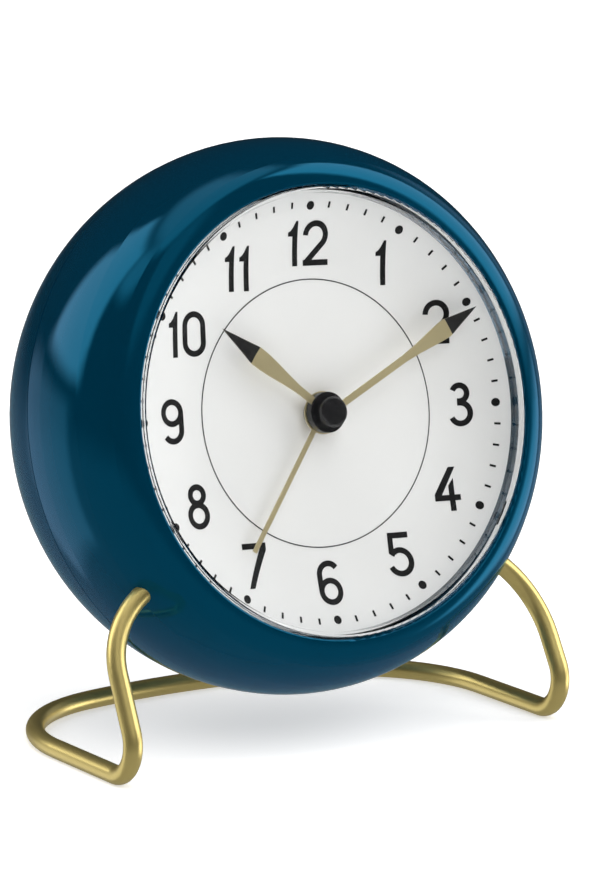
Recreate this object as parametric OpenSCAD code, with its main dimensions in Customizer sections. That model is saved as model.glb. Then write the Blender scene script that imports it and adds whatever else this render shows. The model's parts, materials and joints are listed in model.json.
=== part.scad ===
// Round table alarm clock: a polished two-part shell on a bent rod stand, with a dished dial.
// World frame: z is up, the dial faces -y and the clock stands on z = 0.
// Head frame: z runs along the hands' axis towards the viewer, x to the viewer's right, y up the dial.
// In the head frame z = 0 lies just in front of the flat middle of the dial.

/* [Case] */
// Largest diameter of the case
case_d = 110; // [106:1:116]
// Width of the rim, from the widest part in to the lens opening
rim_w = 10.8; // [10.4:0.1:11.2]
// Wall thickness of the moulded shells
wall = 2.2; // [1.8:0.1:2.4]
// Angle that the head leans back from upright
lean = 11.5; // [9:0.5:14]
// Height of the dial centre above the surface the clock stands on
centre_h = 64.5; // [63:0.5:70]
// Distance of the widest part behind the dial
waist_back = 12; // [11.5:0.1:12.5]
// Profile radius just in front of the widest part
shoulder_r = 35; // [33:1:37]
// Profile radius between the shoulder and the crest
brow_r = 23; // [22.5:0.1:23.5]
// Profile radius of the flank behind the widest part
flank_r = 48; // [46:1:50]
// Radius that rounds the flank into the back
back_edge_r = 5; // [4:0.5:6]
// Radius of the round recess in the back
recess_r = 30.4; // [30.2:0.1:31]
// Depth of the recess in the back
recess_depth = 5.5; // [5:0.1:6]
// Distance of the seam between the shells behind the widest part
seam_back = 5.5; // [5:0.5:7]

/* [Lens] */
// Gap all round between the lens and the rim
lens_gap = 0.35; // [0.25:0.05:0.45]
// Thickness of the lens in front of the hands
lens_t = 1.3; // [1:0.1:1.8]
// Travel of the lens when it is pressed
lens_travel = 0.5; // [0.3:0.1:0.5]

/* [Dial] */
// Radius of the curve by which the dial's outer band rises
dish_r = 40; // [38:1:44]
// Thickness of the dial plate
dial_t = 0.8; // [0.6:0.1:0.9]
// Height of the numerals
numeral_h = 8.75; // [8:0.25:9]
// Stroke width of the numerals
numeral_stroke = 1.15; // [0.9:0.05:1.3]
// Radius on which the numerals are centred
numeral_ring_r = 33.2; // [32:0.2:34]
// Radius of the thin printed circle
circle_r = 26.2; // [24:0.2:27]
// Line width of the thin printed circle
circle_w = 0.22; // [0.15:0.01:0.4]
// Length of a minute mark
mark_l = 1.2; // [0.8:0.1:1.4]
// Width of a minute mark
mark_w = 0.44; // [0.3:0.02:0.6]
// Radius of an hour dot
dot_r = 0.83; // [0.6:0.01:1]

/* [Hands] */
// Length of the minute hand from the axis to its tip
minute_hand_l = 40.3; // [36:0.1:41]
// Largest width of the minute hand
minute_hand_w = 3.7; // [3:0.1:4]
// Length of the hour hand from the axis to its tip
hour_hand_l = 28.3; // [25:0.1:31]
// Largest width of the hour hand
hour_hand_w = 3.8; // [3:0.1:4.2]
// Length of the alarm hand from the axis to its tip
alarm_hand_l = 31.5; // [26:0.1:32]
// Width of the alarm hand
alarm_hand_w = 0.95; // [0.7:0.05:1.2]
// Thickness of the hands' sheet
hand_t = 0.3; // [0.25:0.05:0.35]
// Radius of the cap on the hands' axis
cap_r = 3; // [2.8:0.05:3.2]
// Reading of the minute hand, in degrees past twelve
minute_reading = 61.6; // [0:0.1:360]
// Reading of the hour hand, in degrees past twelve
hour_reading = 307.5; // [0:0.1:360]
// Reading of the alarm hand, in degrees past twelve
alarm_reading = 214; // [0:0.1:360]

/* [Stand] */
// Diameter of the stand's rod
rod_d = 3.8; // [3.4:0.1:4]
// Angle below level at which the rod leaves the case on each side
rod_drop = 38; // [36:0.5:40]
// Distance of the knee's corner outside the widest part of the case
knee_out = 7.9; // [7.5:0.1:9]
// Bend radius of the knee, on the rod's centre line
knee_bend_r = 18; // [16:0.5:18.5]
// Distance of the foot's corner in front of the dial centre
foot_ahead = 22.8; // [21:0.2:25]
// Bend radius of the foot, on the rod's centre line
foot_bend_r = 6.2; // [5:0.2:7]
// Bend radius of the loop's rear corners
corner_bend_r = 31; // [27:1:34]
// Radius of the loop's rear curve
rear_curve_r = 123; // [115:1:140]
// Distance of the loop's rearmost point behind the dial centre
loop_back = 44; // [42:0.5:48]
// Angle that the rod lets the head lean to the viewer's right
side_lean = 2.7; // [0:0.1:3.5]
// Distance of the dial centre to the right of the floor loop's middle
side_shift = 3.2; // [0:0.1:4]

/* [Movement] */
// Side of the square movement housing
housing_w = 54; // [53:0.5:55]
// Depth of the movement housing behind its front plate
housing_depth = 13; // [12.8:0.1:14]
// Wall thickness of the movement housing
housing_wall = 1.2; // [1:0.1:1.3]
// Radius of the minute arbor
arbor_r = 0.9; // [0.8:0.02:0.9]
// Radius of the setting shafts
shaft_r = 1.2; // [1:0.05:1.25]
// Radius of the setting knobs
knob_r = 6; // [5.5:0.1:6.2]

/* [Battery] */
// Diameter of the battery
battery_d = 14.2; // [13.8:0.1:14.5]
// Length of the battery
battery_l = 50.5; // [48:0.5:50.5]
// Thickness of the battery door
door_t = 1.8; // [1.5:0.1:2]

/* [Hidden] */

// Roundness of circles
$fn = 96;
// Overrun of every cut past the faces it opens
over = 1;
// Running clearance of shafts in their bores
fit = 0.06;
// Clearance of a screw in the hole it bites
bite = 0.03;
// Clearance between neighbouring fixed pieces
seat = 0.1;

// Case profile in the plane of radius and head z
case_r = case_d / 2;
hole_r = case_r - rim_w;
lip_edge_r = 0.45;
shoulder_turn = 18;
brow_turn = 38;
shoulder_c = [case_r - shoulder_r, -waist_back];
brow_c = shoulder_c + (shoulder_r - brow_r) * [cos(shoulder_turn), sin(shoulder_turn)];
crest_x = hole_r + lip_edge_r;
crest_r = brow_r - (crest_x - brow_c[0]) / cos(brow_turn);
crest_c = brow_c + (brow_r - crest_r) * [cos(brow_turn), sin(brow_turn)];
lip_z = crest_c[1] + crest_r;
flank_c = [case_r - flank_r, -waist_back];
recess_edge_r = 0.6;
heel_x = recess_r + recess_edge_r;
heel_reach = flank_r - back_edge_r;
heel_c = [heel_x, -waist_back - sqrt(heel_reach * heel_reach - pow(heel_x - flank_c[0], 2))];
flank_turn = atan2(heel_c[1] - flank_c[1], heel_c[0] - flank_c[0]);
back_z = heel_c[1] - back_edge_r;
floor_z = back_z + recess_depth;
floor_inner_z = floor_z + wall;
seam_groove = 0.25;
seam_z = -waist_back - seam_back;
front_seam_turn = -asin((seam_back - seam_groove / 2) / flank_r);
rear_seam_turn = -asin((seam_back + seam_groove / 2) / flank_r);
spigot_l = 3;
spigot_t = 1.4;
spigot_r = flank_c[0] + sqrt(pow(flank_r - wall, 2) - pow(seam_back + spigot_l, 2)) - 1.5 * seat;
notch_w = 3;
notch_depth = 0.9;
notch_h = 1.2;
notch_angle = 227;

// Throat of the front shell and the lens in it
throat_t = 1.8;
throat_z = 1;
lens_r = hole_r - lens_gap;
lens_wall = 1.1;
lens_edge_r = 0.5;
lens_z = lip_z - 0.5 * seat;
lens_foot_z = 4.2;
leg_t = 0.4;
leg_w = 5;
leg_angles = [90, 210, 330];
hook_out = 1.5;
hook_t = 1;
hook_z = throat_z - 2 * seat;
spring_t = 0.3;
spring_w = 1;
spring_gap = 0.3;

// Dial dish: flat in the middle, then a rising curve, with the height of its back at a radius
dish_z = -0.3;
dish_start_r = circle_r + circle_w;
dish_c = [dish_start_r, dish_z + dish_r];
function dish_back_at(radius) = dish_c[1] - sqrt(pow(dish_r + dial_t, 2) - pow(radius - dish_start_r, 2));
dial_r = lens_r - leg_t - seat;
print_t = 0.06;
mark_margin = 3.5;
dot_margin = 3.75;
mark_ring_r = hole_r - mark_margin;
dot_ring_r = hole_r - dot_margin;
minutes = 60;
hours = 12;
minutes_per_hour = minutes / hours;

// Dial carrier behind the dish
carrier_t = 1.6;
dial_gap = 0.5;
carrier_z = dish_z - dial_t - dial_gap;
carrier_back_z = carrier_z - carrier_t;
carrier_wall_t = 1.5;
flange_w = 1.6;
flange_r = hole_r + flange_w;
flange_t = 2.5;
flange_z = hook_z - hook_t - lens_travel - spring_t - seat;
ear_reach = 4.4;
ear_ring_r = hole_r + ear_reach;
ear_w = 6;
ear_angles = [45, 135, 250, 290];
boss_r = 2.4;
boss_h = 4.1;
carrier_screw_r = 1;
carrier_screw_head_r = 1.9;
carrier_screw_head_h = 1.2;
carrier_screw_bite = 3;

// Stand: the rod's path, with y measured from the dial centre
rod_r = rod_d / 2;
flat_depth = 0.1;
bend_thinning = 0.01;
bend_lap = 0.05;
rear_lap = bend_lap / rear_curve_r * 180 / PI;
rod_h = rod_r - flat_depth;
rod_z = -0.6;
rod_end_gap = 3.1;
rod_start_r = hole_r + rod_end_gap;
knee_r = case_r + knee_out;
socket_in = 5.5;
socket_r = case_r - socket_in;
socket_inner_r = flange_r - flange_w / 4;
socket_w = 6.6;
socket_base = 3.7;
socket_back_z = rod_z - rod_r - socket_base;
socket_front_z = rod_z + rod_r - seat;
stand_screw_r = 1;
stand_x = knee_r * cos(rod_drop);
rearward_d = [0, 1, 0];
curve_centre_y = loop_back - rear_curve_r;
corner_reach = rear_curve_r - corner_bend_r;
corner_x = stand_x - corner_bend_r;
corner_y = curve_centre_y + sqrt(corner_reach * corner_reach - corner_x * corner_x);
corner_turn = atan2(corner_y - curve_centre_y, corner_x);
function unit(v) = v / norm(v);
function turn_between(a, b) = acos(a * b);
function bend_setback(a, b, radius) = radius * tan(turn_between(a, b) / 2);
function leant(v) = [v[0] * cos(side_lean) + v[2] * sin(side_lean), v[1],
    v[2] * cos(side_lean) - v[0] * sin(side_lean)];
function radial_d(side) = leant([side * cos(rod_drop), -sin(rod_drop) * sin(lean), -sin(rod_drop) * cos(lean)]);
function rod_point(side, reach) = [0, 0, centre_h] + leant([0, -rod_z * cos(lean), rod_z * sin(lean)])
    + reach * radial_d(side);
function foot_p(side) = [side * stand_x - side_shift, -foot_ahead, rod_h];
function upright_d(side) = unit(foot_p(side) - rod_point(side, knee_r));
function knee_setback(side) = bend_setback(radial_d(side), upright_d(side), knee_bend_r);
function foot_setback(side) = bend_setback(upright_d(side), rearward_d, foot_bend_r);

// The head stands so that the whole clock's depth is centred on y = 0 and its width on x = 0
front_reach = foot_ahead - min(foot_setback(1), foot_setback(-1)) + foot_bend_r + rod_r;
back_reach = cos(lean) * -heel_c[1] + sin(lean) * heel_x + back_edge_r;
head_y = (front_reach - back_reach) / 2;
head_x = waist_back * sin(lean) * sin(side_lean);

// Stack on the hands' axis, from the dial out to the cap
bush_r = 2.5;
bush_bore_r = 1.8;
tube_fit = 0.1;
alarm_tube_r = bush_bore_r - tube_fit;
alarm_tube_bore_r = 1.4;
hour_tube_r = alarm_tube_bore_r - tube_fit;
hour_tube_bore_r = arbor_r + tube_fit;
washer_r = 3.2;
washer_t = 0.3;
washer_z = dish_z + seat;
nut_flats = 5.6;
nut_t = 1.1;
alarm_hand_z = 1.65;
alarm_hub_r = 4.2;
hour_hub_r = 4;
hour_hub_t = 1.1;
hour_cover_t = 0.3;
hub_gap = 0.2;
hour_hub_z = alarm_hand_z + hand_t + hub_gap;
hour_hand_z = hour_hub_z + hour_hub_t;
hour_boss_r = 2.6;
hour_hub_top_z = hour_hand_z + hand_t + hour_cover_t;
cap_z = hour_hub_top_z + hub_gap;
cap_h = 2.25;
cap_edge_r = 0.5;
cap_foot_h = 0.8;
minute_hand_z = cap_z + cap_foot_h;
minute_boss_r = 2.3;

// Movement behind the carrier
plate_t = 1.4;
plate_z = carrier_back_z - plate_t;
cover_back_z = plate_z - housing_depth;
cover_inner_z = cover_back_z + housing_wall;
corner_post_r = 2.2;
corner_post_in = 3;
corner_post_at = housing_w / 2 - corner_post_in;
movement_screw_r = 0.9;
movement_screw_head_r = 1.8;
movement_screw_head_h = 1.1;
bush_flange_r = 6;
bush_flange_t = 0.6;
pivot_r = 0.45;
pivot_l = 1.2;
pinion_arbor_r = 0.6;
pivot_boss_r = 1.6;
pivot_boss_h = 1.6;
pivot_back_z = cover_inner_z + pivot_boss_h;
end_play = 0.3;

// Wheels: teeth, tooth modules, levels and places
wheel_t = 0.65;
pinion_t = 1.1;
motion_module = 0.5;
hour_module = 0.48;
alarm_module = 0.55;
train_module = 0.32;
third_module = 0.3;
fourth_module = 0.2;
centre_pinion_teeth = 12;
minute_wheel_teeth = 36;
hour_pinion_teeth = 10;
hour_wheel_teeth = 40;
time_set_teeth = 24;
alarm_wheel_teeth = 36;
alarm_set_teeth = 18;
centre_wheel_teeth = 64;
third_pinion_teeth = 8;
third_wheel_teeth = 60;
fourth_pinion_teeth = 8;
fourth_wheel_teeth = 60;
tip_height_share = 0.8;
root_depth_share = 1.25;
root_width_share = 0.56;
tip_width_share = 0.22;
function pitch_r(teeth, tooth_module) = teeth * tooth_module / 2;
function from_place(place, reach, angle) = place + reach * [cos(angle), sin(angle)];
// Turn of gear b that meshes it with gear a, seen from a along the line of centres
function mesh_turn(angle, turn_a, teeth_a, teeth_b) =
    angle + 180 + 180 / teeth_b + (angle - turn_a) * teeth_a / teeth_b;
motion_reach = pitch_r(centre_pinion_teeth + minute_wheel_teeth, motion_module);
time_set_reach = pitch_r(minute_wheel_teeth + time_set_teeth, motion_module);
alarm_set_reach = pitch_r(alarm_wheel_teeth + alarm_set_teeth, alarm_module);
third_reach = pitch_r(centre_wheel_teeth + third_pinion_teeth, train_module);
fourth_reach = pitch_r(third_wheel_teeth + fourth_pinion_teeth, third_module);
minute_wheel_angle = 150;
time_set_angle = 60;
alarm_set_angle = 50;
third_angle = -60;
fourth_angle = -170;
rotor_angle = -110;
axis_p = [0, 0];
minute_wheel_p = from_place(axis_p, motion_reach, minute_wheel_angle);
time_set_p = from_place(minute_wheel_p, time_set_reach, time_set_angle);
alarm_set_p = from_place(axis_p, alarm_set_reach, alarm_set_angle);
third_p = from_place(axis_p, third_reach, third_angle);
fourth_p = from_place(third_p, fourth_reach, fourth_angle);
rotor_pinion_r = 0.9;
rotor_reach = pitch_r(fourth_wheel_teeth, fourth_module) + fourth_module + rotor_pinion_r + 2 * seat;
rotor_p = from_place(fourth_p, rotor_reach, rotor_angle);
minute_wheel_turn = mesh_turn(minute_wheel_angle, 0, centre_pinion_teeth, minute_wheel_teeth);
hour_pinion_turn = 0;
hour_wheel_turn = mesh_turn(minute_wheel_angle + 180, hour_pinion_turn, hour_pinion_teeth, hour_wheel_teeth);
time_set_turn = mesh_turn(time_set_angle, minute_wheel_turn, minute_wheel_teeth, time_set_teeth);
alarm_set_turn = mesh_turn(alarm_set_angle, 0, alarm_wheel_teeth, alarm_set_teeth);
third_pinion_turn = mesh_turn(third_angle, 0, centre_wheel_teeth, third_pinion_teeth);
fourth_pinion_turn = mesh_turn(fourth_angle, 0, third_wheel_teeth, fourth_pinion_teeth);
level_gap = 0.5;
alarm_wheel_z = plate_z - bush_flange_t - end_play - wheel_t;
hour_wheel_z = alarm_wheel_z - level_gap - wheel_t;
minute_wheel_z = hour_wheel_z - level_gap - wheel_t;
centre_wheel_z = minute_wheel_z - 3 * end_play - wheel_t;
third_wheel_z = centre_wheel_z - 3 * end_play - wheel_t;
fourth_wheel_z = third_wheel_z - 3.5 * end_play - wheel_t;
rotor_magnet_r = 2.2;
rotor_magnet_h = 2.4;
rotor_magnet_z = centre_wheel_z - rotor_magnet_h / 2;
stator_t = 0.7;
stator_z = centre_wheel_z - stator_t / 2 - seat / 2;
stator_l = 34;
stator_w = 9.8;
stator_aside = 14.5;
stator_below = 6.7;
stator_from = [rotor_p[0] - stator_aside, rotor_p[1] - stator_below];
coil_r = 2.3;
coil_bore_r = 0.85;
coil_l = 22;
coil_leg_l = 4;
coil_rise = coil_r + coil_bore_r + seat;
coil_y = stator_from[1] + coil_leg_l / 2;

// Circuit board on its posts, with its parts
board_t = 0.8;
board_z = pivot_back_z;
board_y = 9;
board_w = 16.5;
board_l = 48;
board_hole_r = 2.2;
chip_r = 2.4;
chip_t = 0.8;
chip_p = [-16, 15];
quartz_r = 1;
quartz_l = 6;
quartz_p = [15, 21.5];

// Switch that the lens presses for snooze
switch_w = 5;
switch_depth = 2.4;
switch_h = 3;
switch_button_r = 0.8;
switch_button_h = 0.6;
plunger_r = 0.5;
plunger_l = 3.7;
snooze_r = lens_r + hook_out / 2;
switch_drop = 1.6;

// Controls in the recess
knob_gap = 0.5;
knob_sink = 0.75;
knob_top_z = floor_z - knob_gap;
knob_h = knob_top_z - back_z - knob_sink;
knurl_count = 18;
knurl_r = 0.5;
shaft_hole_gap = 0.4;
slider_p = [-16, 8];
slider_w = 4;
slider_h = 3;
slider_t = 1.5;
slider_stem_w = 2;
slider_travel = 3;
slider_gap = 0.2;
switch_body_l = 9;
switch_body_w = 5;
switch_body_t = 4;
buzzer_r = 6;
buzzer_t = 3.5;
buzzer_p = [0, -21.8];
sound_hole_r = 0.6;
sound_ring_r = 2.6;
sound_hole_count = 6;

// Battery compartment, moulded on the rear shell's floor
battery_r = battery_d / 2;
battery_y = -6;
battery_tip_r = 2.75;
battery_tip_l = 1.2;
bay_wall = 1.2;
bay_gap = 0.3;
contact_t = 0.4;
leaf_bow = 1.8;
bay_half_w = battery_r + bay_gap;
bay_right_x = battery_l / 2 + contact_t + seat;
bay_left_x = battery_l / 2 + leaf_bow + contact_t + seat;
battery_axis_z = floor_z + door_t + bay_gap + battery_r;
bay_top_z = battery_axis_z + battery_r + bay_gap;
door_gap = 0.2;
door_over_l = 0.6;
door_over_w = 0.4;
door_l = battery_l + door_over_l;
door_w = battery_d + door_over_w;
latch_w = 7;
latch_depth = 1;
latch_l = 2.2;
contact_w = 8;
lead_r = 0.5;
lead_in = 1.6;

// Numeral shapes, as shares of their height or of their own radii
two_bowl_r = 2.85;
three_upper_r = 2.15;
three_lower_r = 2.65;
nine_bowl_r = 2.7;
five_bowl_r = 2.9;
zero_r = 2.75;
seven_w = 5.5;
four_w = 5.5;
one_flag_w = 1.05;
digit_gap = 1.3;
arc_step = 7.5;
one_flag_low_share = 0.66;
one_flag_high_share = 0.75;
one_bend_share = 0.85;
four_bar_share = 0.235;
four_slant_share = 0.39;
four_top_share = 0.89;
four_stem_share = 0.78;
four_stem_top_share = 0.745;
five_neck_share = 0.55;
five_turn = 124;
seven_shoulder_share = 0.83;
numeral_words = [[1, 2], [1], [2], [3], [4], [5], [6], [7], [8], [9], [1, 0], [1, 1]];

// Hand outlines, as shares of the hand's own length and widest width
minute_outline_shares = [[0.05, 0.36], [0.5, 0.4], [0.6, 0.56], [0.7, 0.84], [0.76, 0.97], [0.795, 1]];
hour_outline_shares = [[0.08, 0.38], [0.28, 0.42], [0.4, 0.62], [0.52, 0.86], [0.61, 0.98], [0.68, 1]];
hour_slot_w = hour_outline_shares[1][1] * hour_hand_w + 2 * fit;

module in_head() {
    translate([head_x, head_y, centre_h])
    rotate([0, side_lean, 0])
    rotate([90 - lean, 0, 0])
    children();
}

// A ring between two radii, from one head z to another
module ring(outer_r, inner_r, z_low, z_high) {
    translate([0, 0, z_low])
    difference() {
        cylinder(r = outer_r, h = z_high - z_low);
        translate([0, 0, -over])
        cylinder(r = inner_r, h = z_high - z_low + 2 * over);
    }
}

// A round rod from one head z to another, at a place on the dial
module rod_at(place, radius, z_low, z_high) {
    translate([place[0], place[1], z_low])
    cylinder(r = radius, h = z_high - z_low);
}

// A box between two corners
module block(low, high) {
    translate(low)
    cube(high - low);
}

// The shell's wall along one arc of its profile
module skin_arc(centre, radius, turn_from, turn_to) {
    reach = 2 * radius;
    turn_mid = (turn_from + turn_to) / 2;
    translate(centre)
    intersection() {
        difference() {
            circle(r = radius);
            circle(r = radius - wall);
        }
        polygon([[0, 0], for (a = [turn_from, turn_mid, turn_to]) reach * [cos(a), sin(a)]]);
    }
}

// A quarter of a disc that rounds an edge, in the quarter that starts at a turn
module edge_quarter(centre, radius, turn_from) {
    translate(centre)
    rotate(turn_from)
    intersection() {
        circle(r = radius);
        square(2 * radius);
    }
}

// The rising band of the dial, between two radii of its curve
module dish_band(outer_r, inner_r) {
    rotate_extrude()
    intersection() {
        translate(dish_c)
        difference() {
            circle(r = outer_r);
            circle(r = inner_r);
        }
        translate([dish_start_r, dish_z - over])
        square([dial_r - dish_start_r, dish_r / 2]);
    }
}

// Prints a flat outline on the rising band of the dial
module on_dish() {
    intersection() {
        dish_band(dish_r, dish_r - print_t);
        translate([0, 0, dish_z - over])
        linear_extrude(dish_r / 2)
        children();
    }
}

module front_shell() {
    color("#0b4a66")
    in_head()
    difference() {
        union() {
            rotate_extrude()
            union() {
                skin_arc(flank_c, flank_r, front_seam_turn, 0);
                skin_arc(shoulder_c, shoulder_r, 0, shoulder_turn);
                skin_arc(brow_c, brow_r, shoulder_turn, brow_turn);
                skin_arc(crest_c, crest_r, brow_turn, 90);
                translate(crest_c)
                rotate(brow_turn)
                translate([crest_r - wall * 0.9, -wall * 0.1])
                square([wall * 0.8, wall * 0.2]);
                edge_quarter([crest_x, lip_z - lip_edge_r], lip_edge_r, 90);
                translate([hole_r, throat_z])
                square([throat_t, lip_z - lip_edge_r - throat_z]);
                translate([spigot_r - spigot_t, seam_z - spigot_l])
                square([spigot_t, 2 * spigot_l]);
                translate([spigot_r - spigot_t, seam_z + seam_groove / 2])
                square([spigot_t + wall, spigot_l - seam_groove / 2]);
            }
            for (a = ear_angles)
            rotate(a)
            rod_at([ear_ring_r, 0], boss_r, flange_z, flange_z + boss_h);
        }
        for (side = [0, 1])
        mirror([side, 0, 0])
        rotate(-rod_drop)
        translate([socket_r - over, 0, rod_z])
        rotate([0, 90, 0])
        cylinder(r = rod_r + 3 * fit, h = case_r - socket_r + 2 * over);
        for (a = ear_angles)
        rotate(a)
        rod_at([ear_ring_r, 0], carrier_screw_r + bite, flange_z - over, flange_z + carrier_screw_bite + seat);
    }
}

module rear_shell() {
    color("#0b4a66")
    in_head()
    difference() {
        union() {
            rotate_extrude()
            union() {
                skin_arc(flank_c, flank_r, flank_turn, rear_seam_turn);
                skin_arc(heel_c, back_edge_r, -90, flank_turn);
                edge_quarter([heel_x, back_z + recess_edge_r], recess_edge_r, 180);
                translate([recess_r, back_z + recess_edge_r])
                square([wall, recess_depth - recess_edge_r + wall]);
                translate([0, floor_z])
                square([recess_r + wall, wall]);
            }
            battery_bay();
        }
        battery_opening();
        for (place = [time_set_p, alarm_set_p])
        rod_at(place, shaft_r + shaft_hole_gap, floor_z - over, floor_inner_z + over);
        translate([buzzer_p[0], buzzer_p[1], floor_z - over])
        for (k = [0 : sound_hole_count - 1])
        rotate(k * 360 / sound_hole_count)
        translate([sound_ring_r, 0, 0])
        cylinder(r = sound_hole_r, h = wall + 2 * over);
        slider_slot(slider_gap);
        rotate(notch_angle)
        block([flank_c[0] + flank_r - notch_depth, -notch_w / 2, seam_z - notch_h],
            [case_r + over, notch_w / 2, seam_z + over]);
    }
}

// Walls of the battery bay, standing on the floor inside the rear shell
module battery_bay() {
    difference() {
        block([-bay_left_x - bay_wall, battery_y - bay_half_w - bay_wall, floor_z + wall / 2],
            [bay_right_x + bay_wall, battery_y + bay_half_w + bay_wall, bay_top_z + bay_wall]);
        block([-bay_left_x, battery_y - bay_half_w, floor_z],
            [bay_right_x, battery_y + bay_half_w, bay_top_z]);
        for (x = [bay_right_x, -bay_left_x - bay_wall])
        block([x - seat, battery_y - lead_r - seat, battery_axis_z - lead_r],
            [x + bay_wall + seat, battery_y + lead_r + seat, bay_top_z + bay_wall + over]);
    }
}

module battery_opening() {
    block([-door_l / 2 - door_gap, battery_y - door_w / 2 - door_gap, floor_z - over],
        [door_l / 2 + door_gap, battery_y + door_w / 2 + door_gap, floor_inner_z + over]);
}

module slider_slot(gap) {
    block([slider_p[0] - slider_stem_w / 2 - gap, slider_p[1] - slider_stem_w / 2 - gap, floor_z - over],
        [slider_p[0] + slider_stem_w / 2 + slider_travel + gap, slider_p[1] + slider_stem_w / 2 + gap,
            floor_inner_z + switch_body_t - housing_wall]);
}

// Clear lens: a front plate with a rounded rim, a short wall and three hooked legs
module lens() {
    color("#dfe9ec", 0.35)
    in_head()
    union() {
        rotate_extrude()
        union() {
            translate([0, lens_z - lens_t])
            square([lens_r - lens_edge_r, lens_t]);
            translate([lens_r - lens_wall, lens_foot_z])
            square([lens_wall, lens_z - lens_edge_r - lens_foot_z]);
            edge_quarter([lens_r - lens_edge_r, lens_z - lens_edge_r], lens_edge_r, 0);
        }
        for (a = leg_angles)
        rotate(a)
        intersection() {
            union() {
                ring(lens_r - seat / 2, lens_r - leg_t, hook_z - hook_t, lens_foot_z + lens_wall);
                ring(lens_r + hook_out, lens_r - leg_t, hook_z - hook_t, hook_z);
            }
            block([0, -leg_w / 2, hook_z - hook_t - over],
                [lens_r + hook_out + over, leg_w / 2, lens_foot_z + lens_wall + over]);
        }
        rod_at([0, snooze_r], plunger_r, hook_z - hook_t - plunger_l, hook_z - hook_t);
    }
}

// Flat wave spring on the carrier's flange, under the lens hooks
module lens_spring() {
    color("silver")
    in_head()
    difference() {
        ring(lens_r + spring_gap + spring_w, lens_r + spring_gap, flange_z, flange_z + spring_t);
        rod_at([0, snooze_r], plunger_r + 3 * seat, flange_z - over, flange_z + over);
    }
}

// Moulded carrier: a disc with a rim for the dial, a flange with ears, and sockets for the rod's ends
module carrier() {
    color("#8d9296")
    in_head()
    difference() {
        union() {
            rod_at(axis_p, dial_r, carrier_back_z, carrier_z);
            ring(dial_r, dial_r - carrier_wall_t, carrier_back_z, dish_back_at(dial_r - carrier_wall_t));
            ring(flange_r, dial_r - carrier_wall_t, flange_z - flange_t, flange_z);
            for (a = ear_angles)
            rotate(a)
            union() {
                block([flange_r - over, -ear_w / 2, flange_z - flange_t], [ear_ring_r, ear_w / 2, flange_z]);
                rod_at([ear_ring_r, 0], boss_r, flange_z - flange_t, flange_z);
            }
            for (side = [0, 1])
            mirror([side, 0, 0])
            rotate(-rod_drop)
            union() {
                block([socket_inner_r, -socket_w / 2, socket_back_z], [socket_r, socket_w / 2, socket_front_z]);
            }
        }
        rod_at(axis_p, bush_r + fit, carrier_back_z - over, carrier_z + over);
        rod_at([0, snooze_r], plunger_r + 3 * seat, flange_z - flange_t - over, flange_z + over);
        for (a = ear_angles)
        rotate(a)
        rod_at([ear_ring_r, 0], carrier_screw_r + seat, flange_z - flange_t - over, flange_z + over);
        for (side = [0, 1])
        mirror([side, 0, 0])
        rotate(-rod_drop)
        union() {
            translate([rod_start_r - seat, 0, rod_z])
            rotate([0, 90, 0])
            cylinder(r = rod_r + fit, h = socket_r - rod_start_r + over);
            rod_at([(rod_start_r + socket_r) / 2, 0], stand_screw_r + bite, socket_back_z - over, rod_z);
        }
        for (x = [-1, 1], y = [-1, 1])
        rod_at(corner_post_at * [x, y], movement_screw_r + bite, carrier_back_z - over, carrier_z + over);
    }
}

module dial_plate() {
    color("#f2f2ee")
    in_head()
    union() {
        ring(dish_start_r, bush_r + fit, dish_z - dial_t, dish_z);
        dish_band(dish_r + dial_t, dish_r);
    }
}

// Points on an arc
function arc_path(centre, radius, turn_from, turn_to) =
    let (steps = ceil(abs(turn_to - turn_from) / arc_step))
    [for (k = [0 : steps]) let (a = turn_from + (turn_to - turn_from) * k / steps)
        centre + radius * [cos(a), sin(a)]];

// A stroke of the numerals' width along a path through its middle
module stroke(path) {
    last = len(path) - 1;
    aside = [for (k = [0 : last])
        let (a = unit(path[min(k + 1, last)] - path[min(k, last - 1)]),
            b = unit(path[max(k, 1)] - path[max(k - 1, 0)]),
            along = unit(a + b))
        numeral_stroke / 2 / (along * a) * [-along[1], along[0]]];
    polygon(concat([for (k = [0 : last]) path[k] + aside[k]],
        [for (k = [last : -1 : 0]) path[k] - aside[k]]));
}

module numeral_0() {
    difference() {
        zero_form(0);
        zero_form(numeral_stroke);
    }
}

module zero_form(inset) {
    polygon(concat(arc_path([zero_r, numeral_h - zero_r], zero_r - inset, 0, 180),
        arc_path([zero_r, zero_r], zero_r - inset, 180, 360)));
}

module numeral_1() {
    stem_x = one_flag_w;
    right_x = one_flag_w + numeral_stroke;
    polygon([[stem_x, 0], [right_x, 0], [right_x, numeral_h],
        [right_x - numeral_stroke * 0.4, numeral_h],
        [stem_x, one_bend_share * numeral_h],
        [stem_x - one_flag_w * 0.5, (one_bend_share + one_flag_high_share) * numeral_h / 2.05],
        [0, one_flag_high_share * numeral_h], [0, one_flag_low_share * numeral_h],
        [stem_x, one_flag_low_share * numeral_h]]);
}

module numeral_2() {
    mid_r = two_bowl_r - numeral_stroke / 2;
    bowl = [two_bowl_r, numeral_h - two_bowl_r];
    heel = numeral_stroke * [0.62, 0.6];
    away = heel - bowl;
    tangent = atan2(away[1], away[0]) + acos(mid_r / norm(away));
    stroke(concat(arc_path(bowl, mid_r, 180, tangent), [heel]));
    square([2 * two_bowl_r, numeral_stroke]);
}

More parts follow.
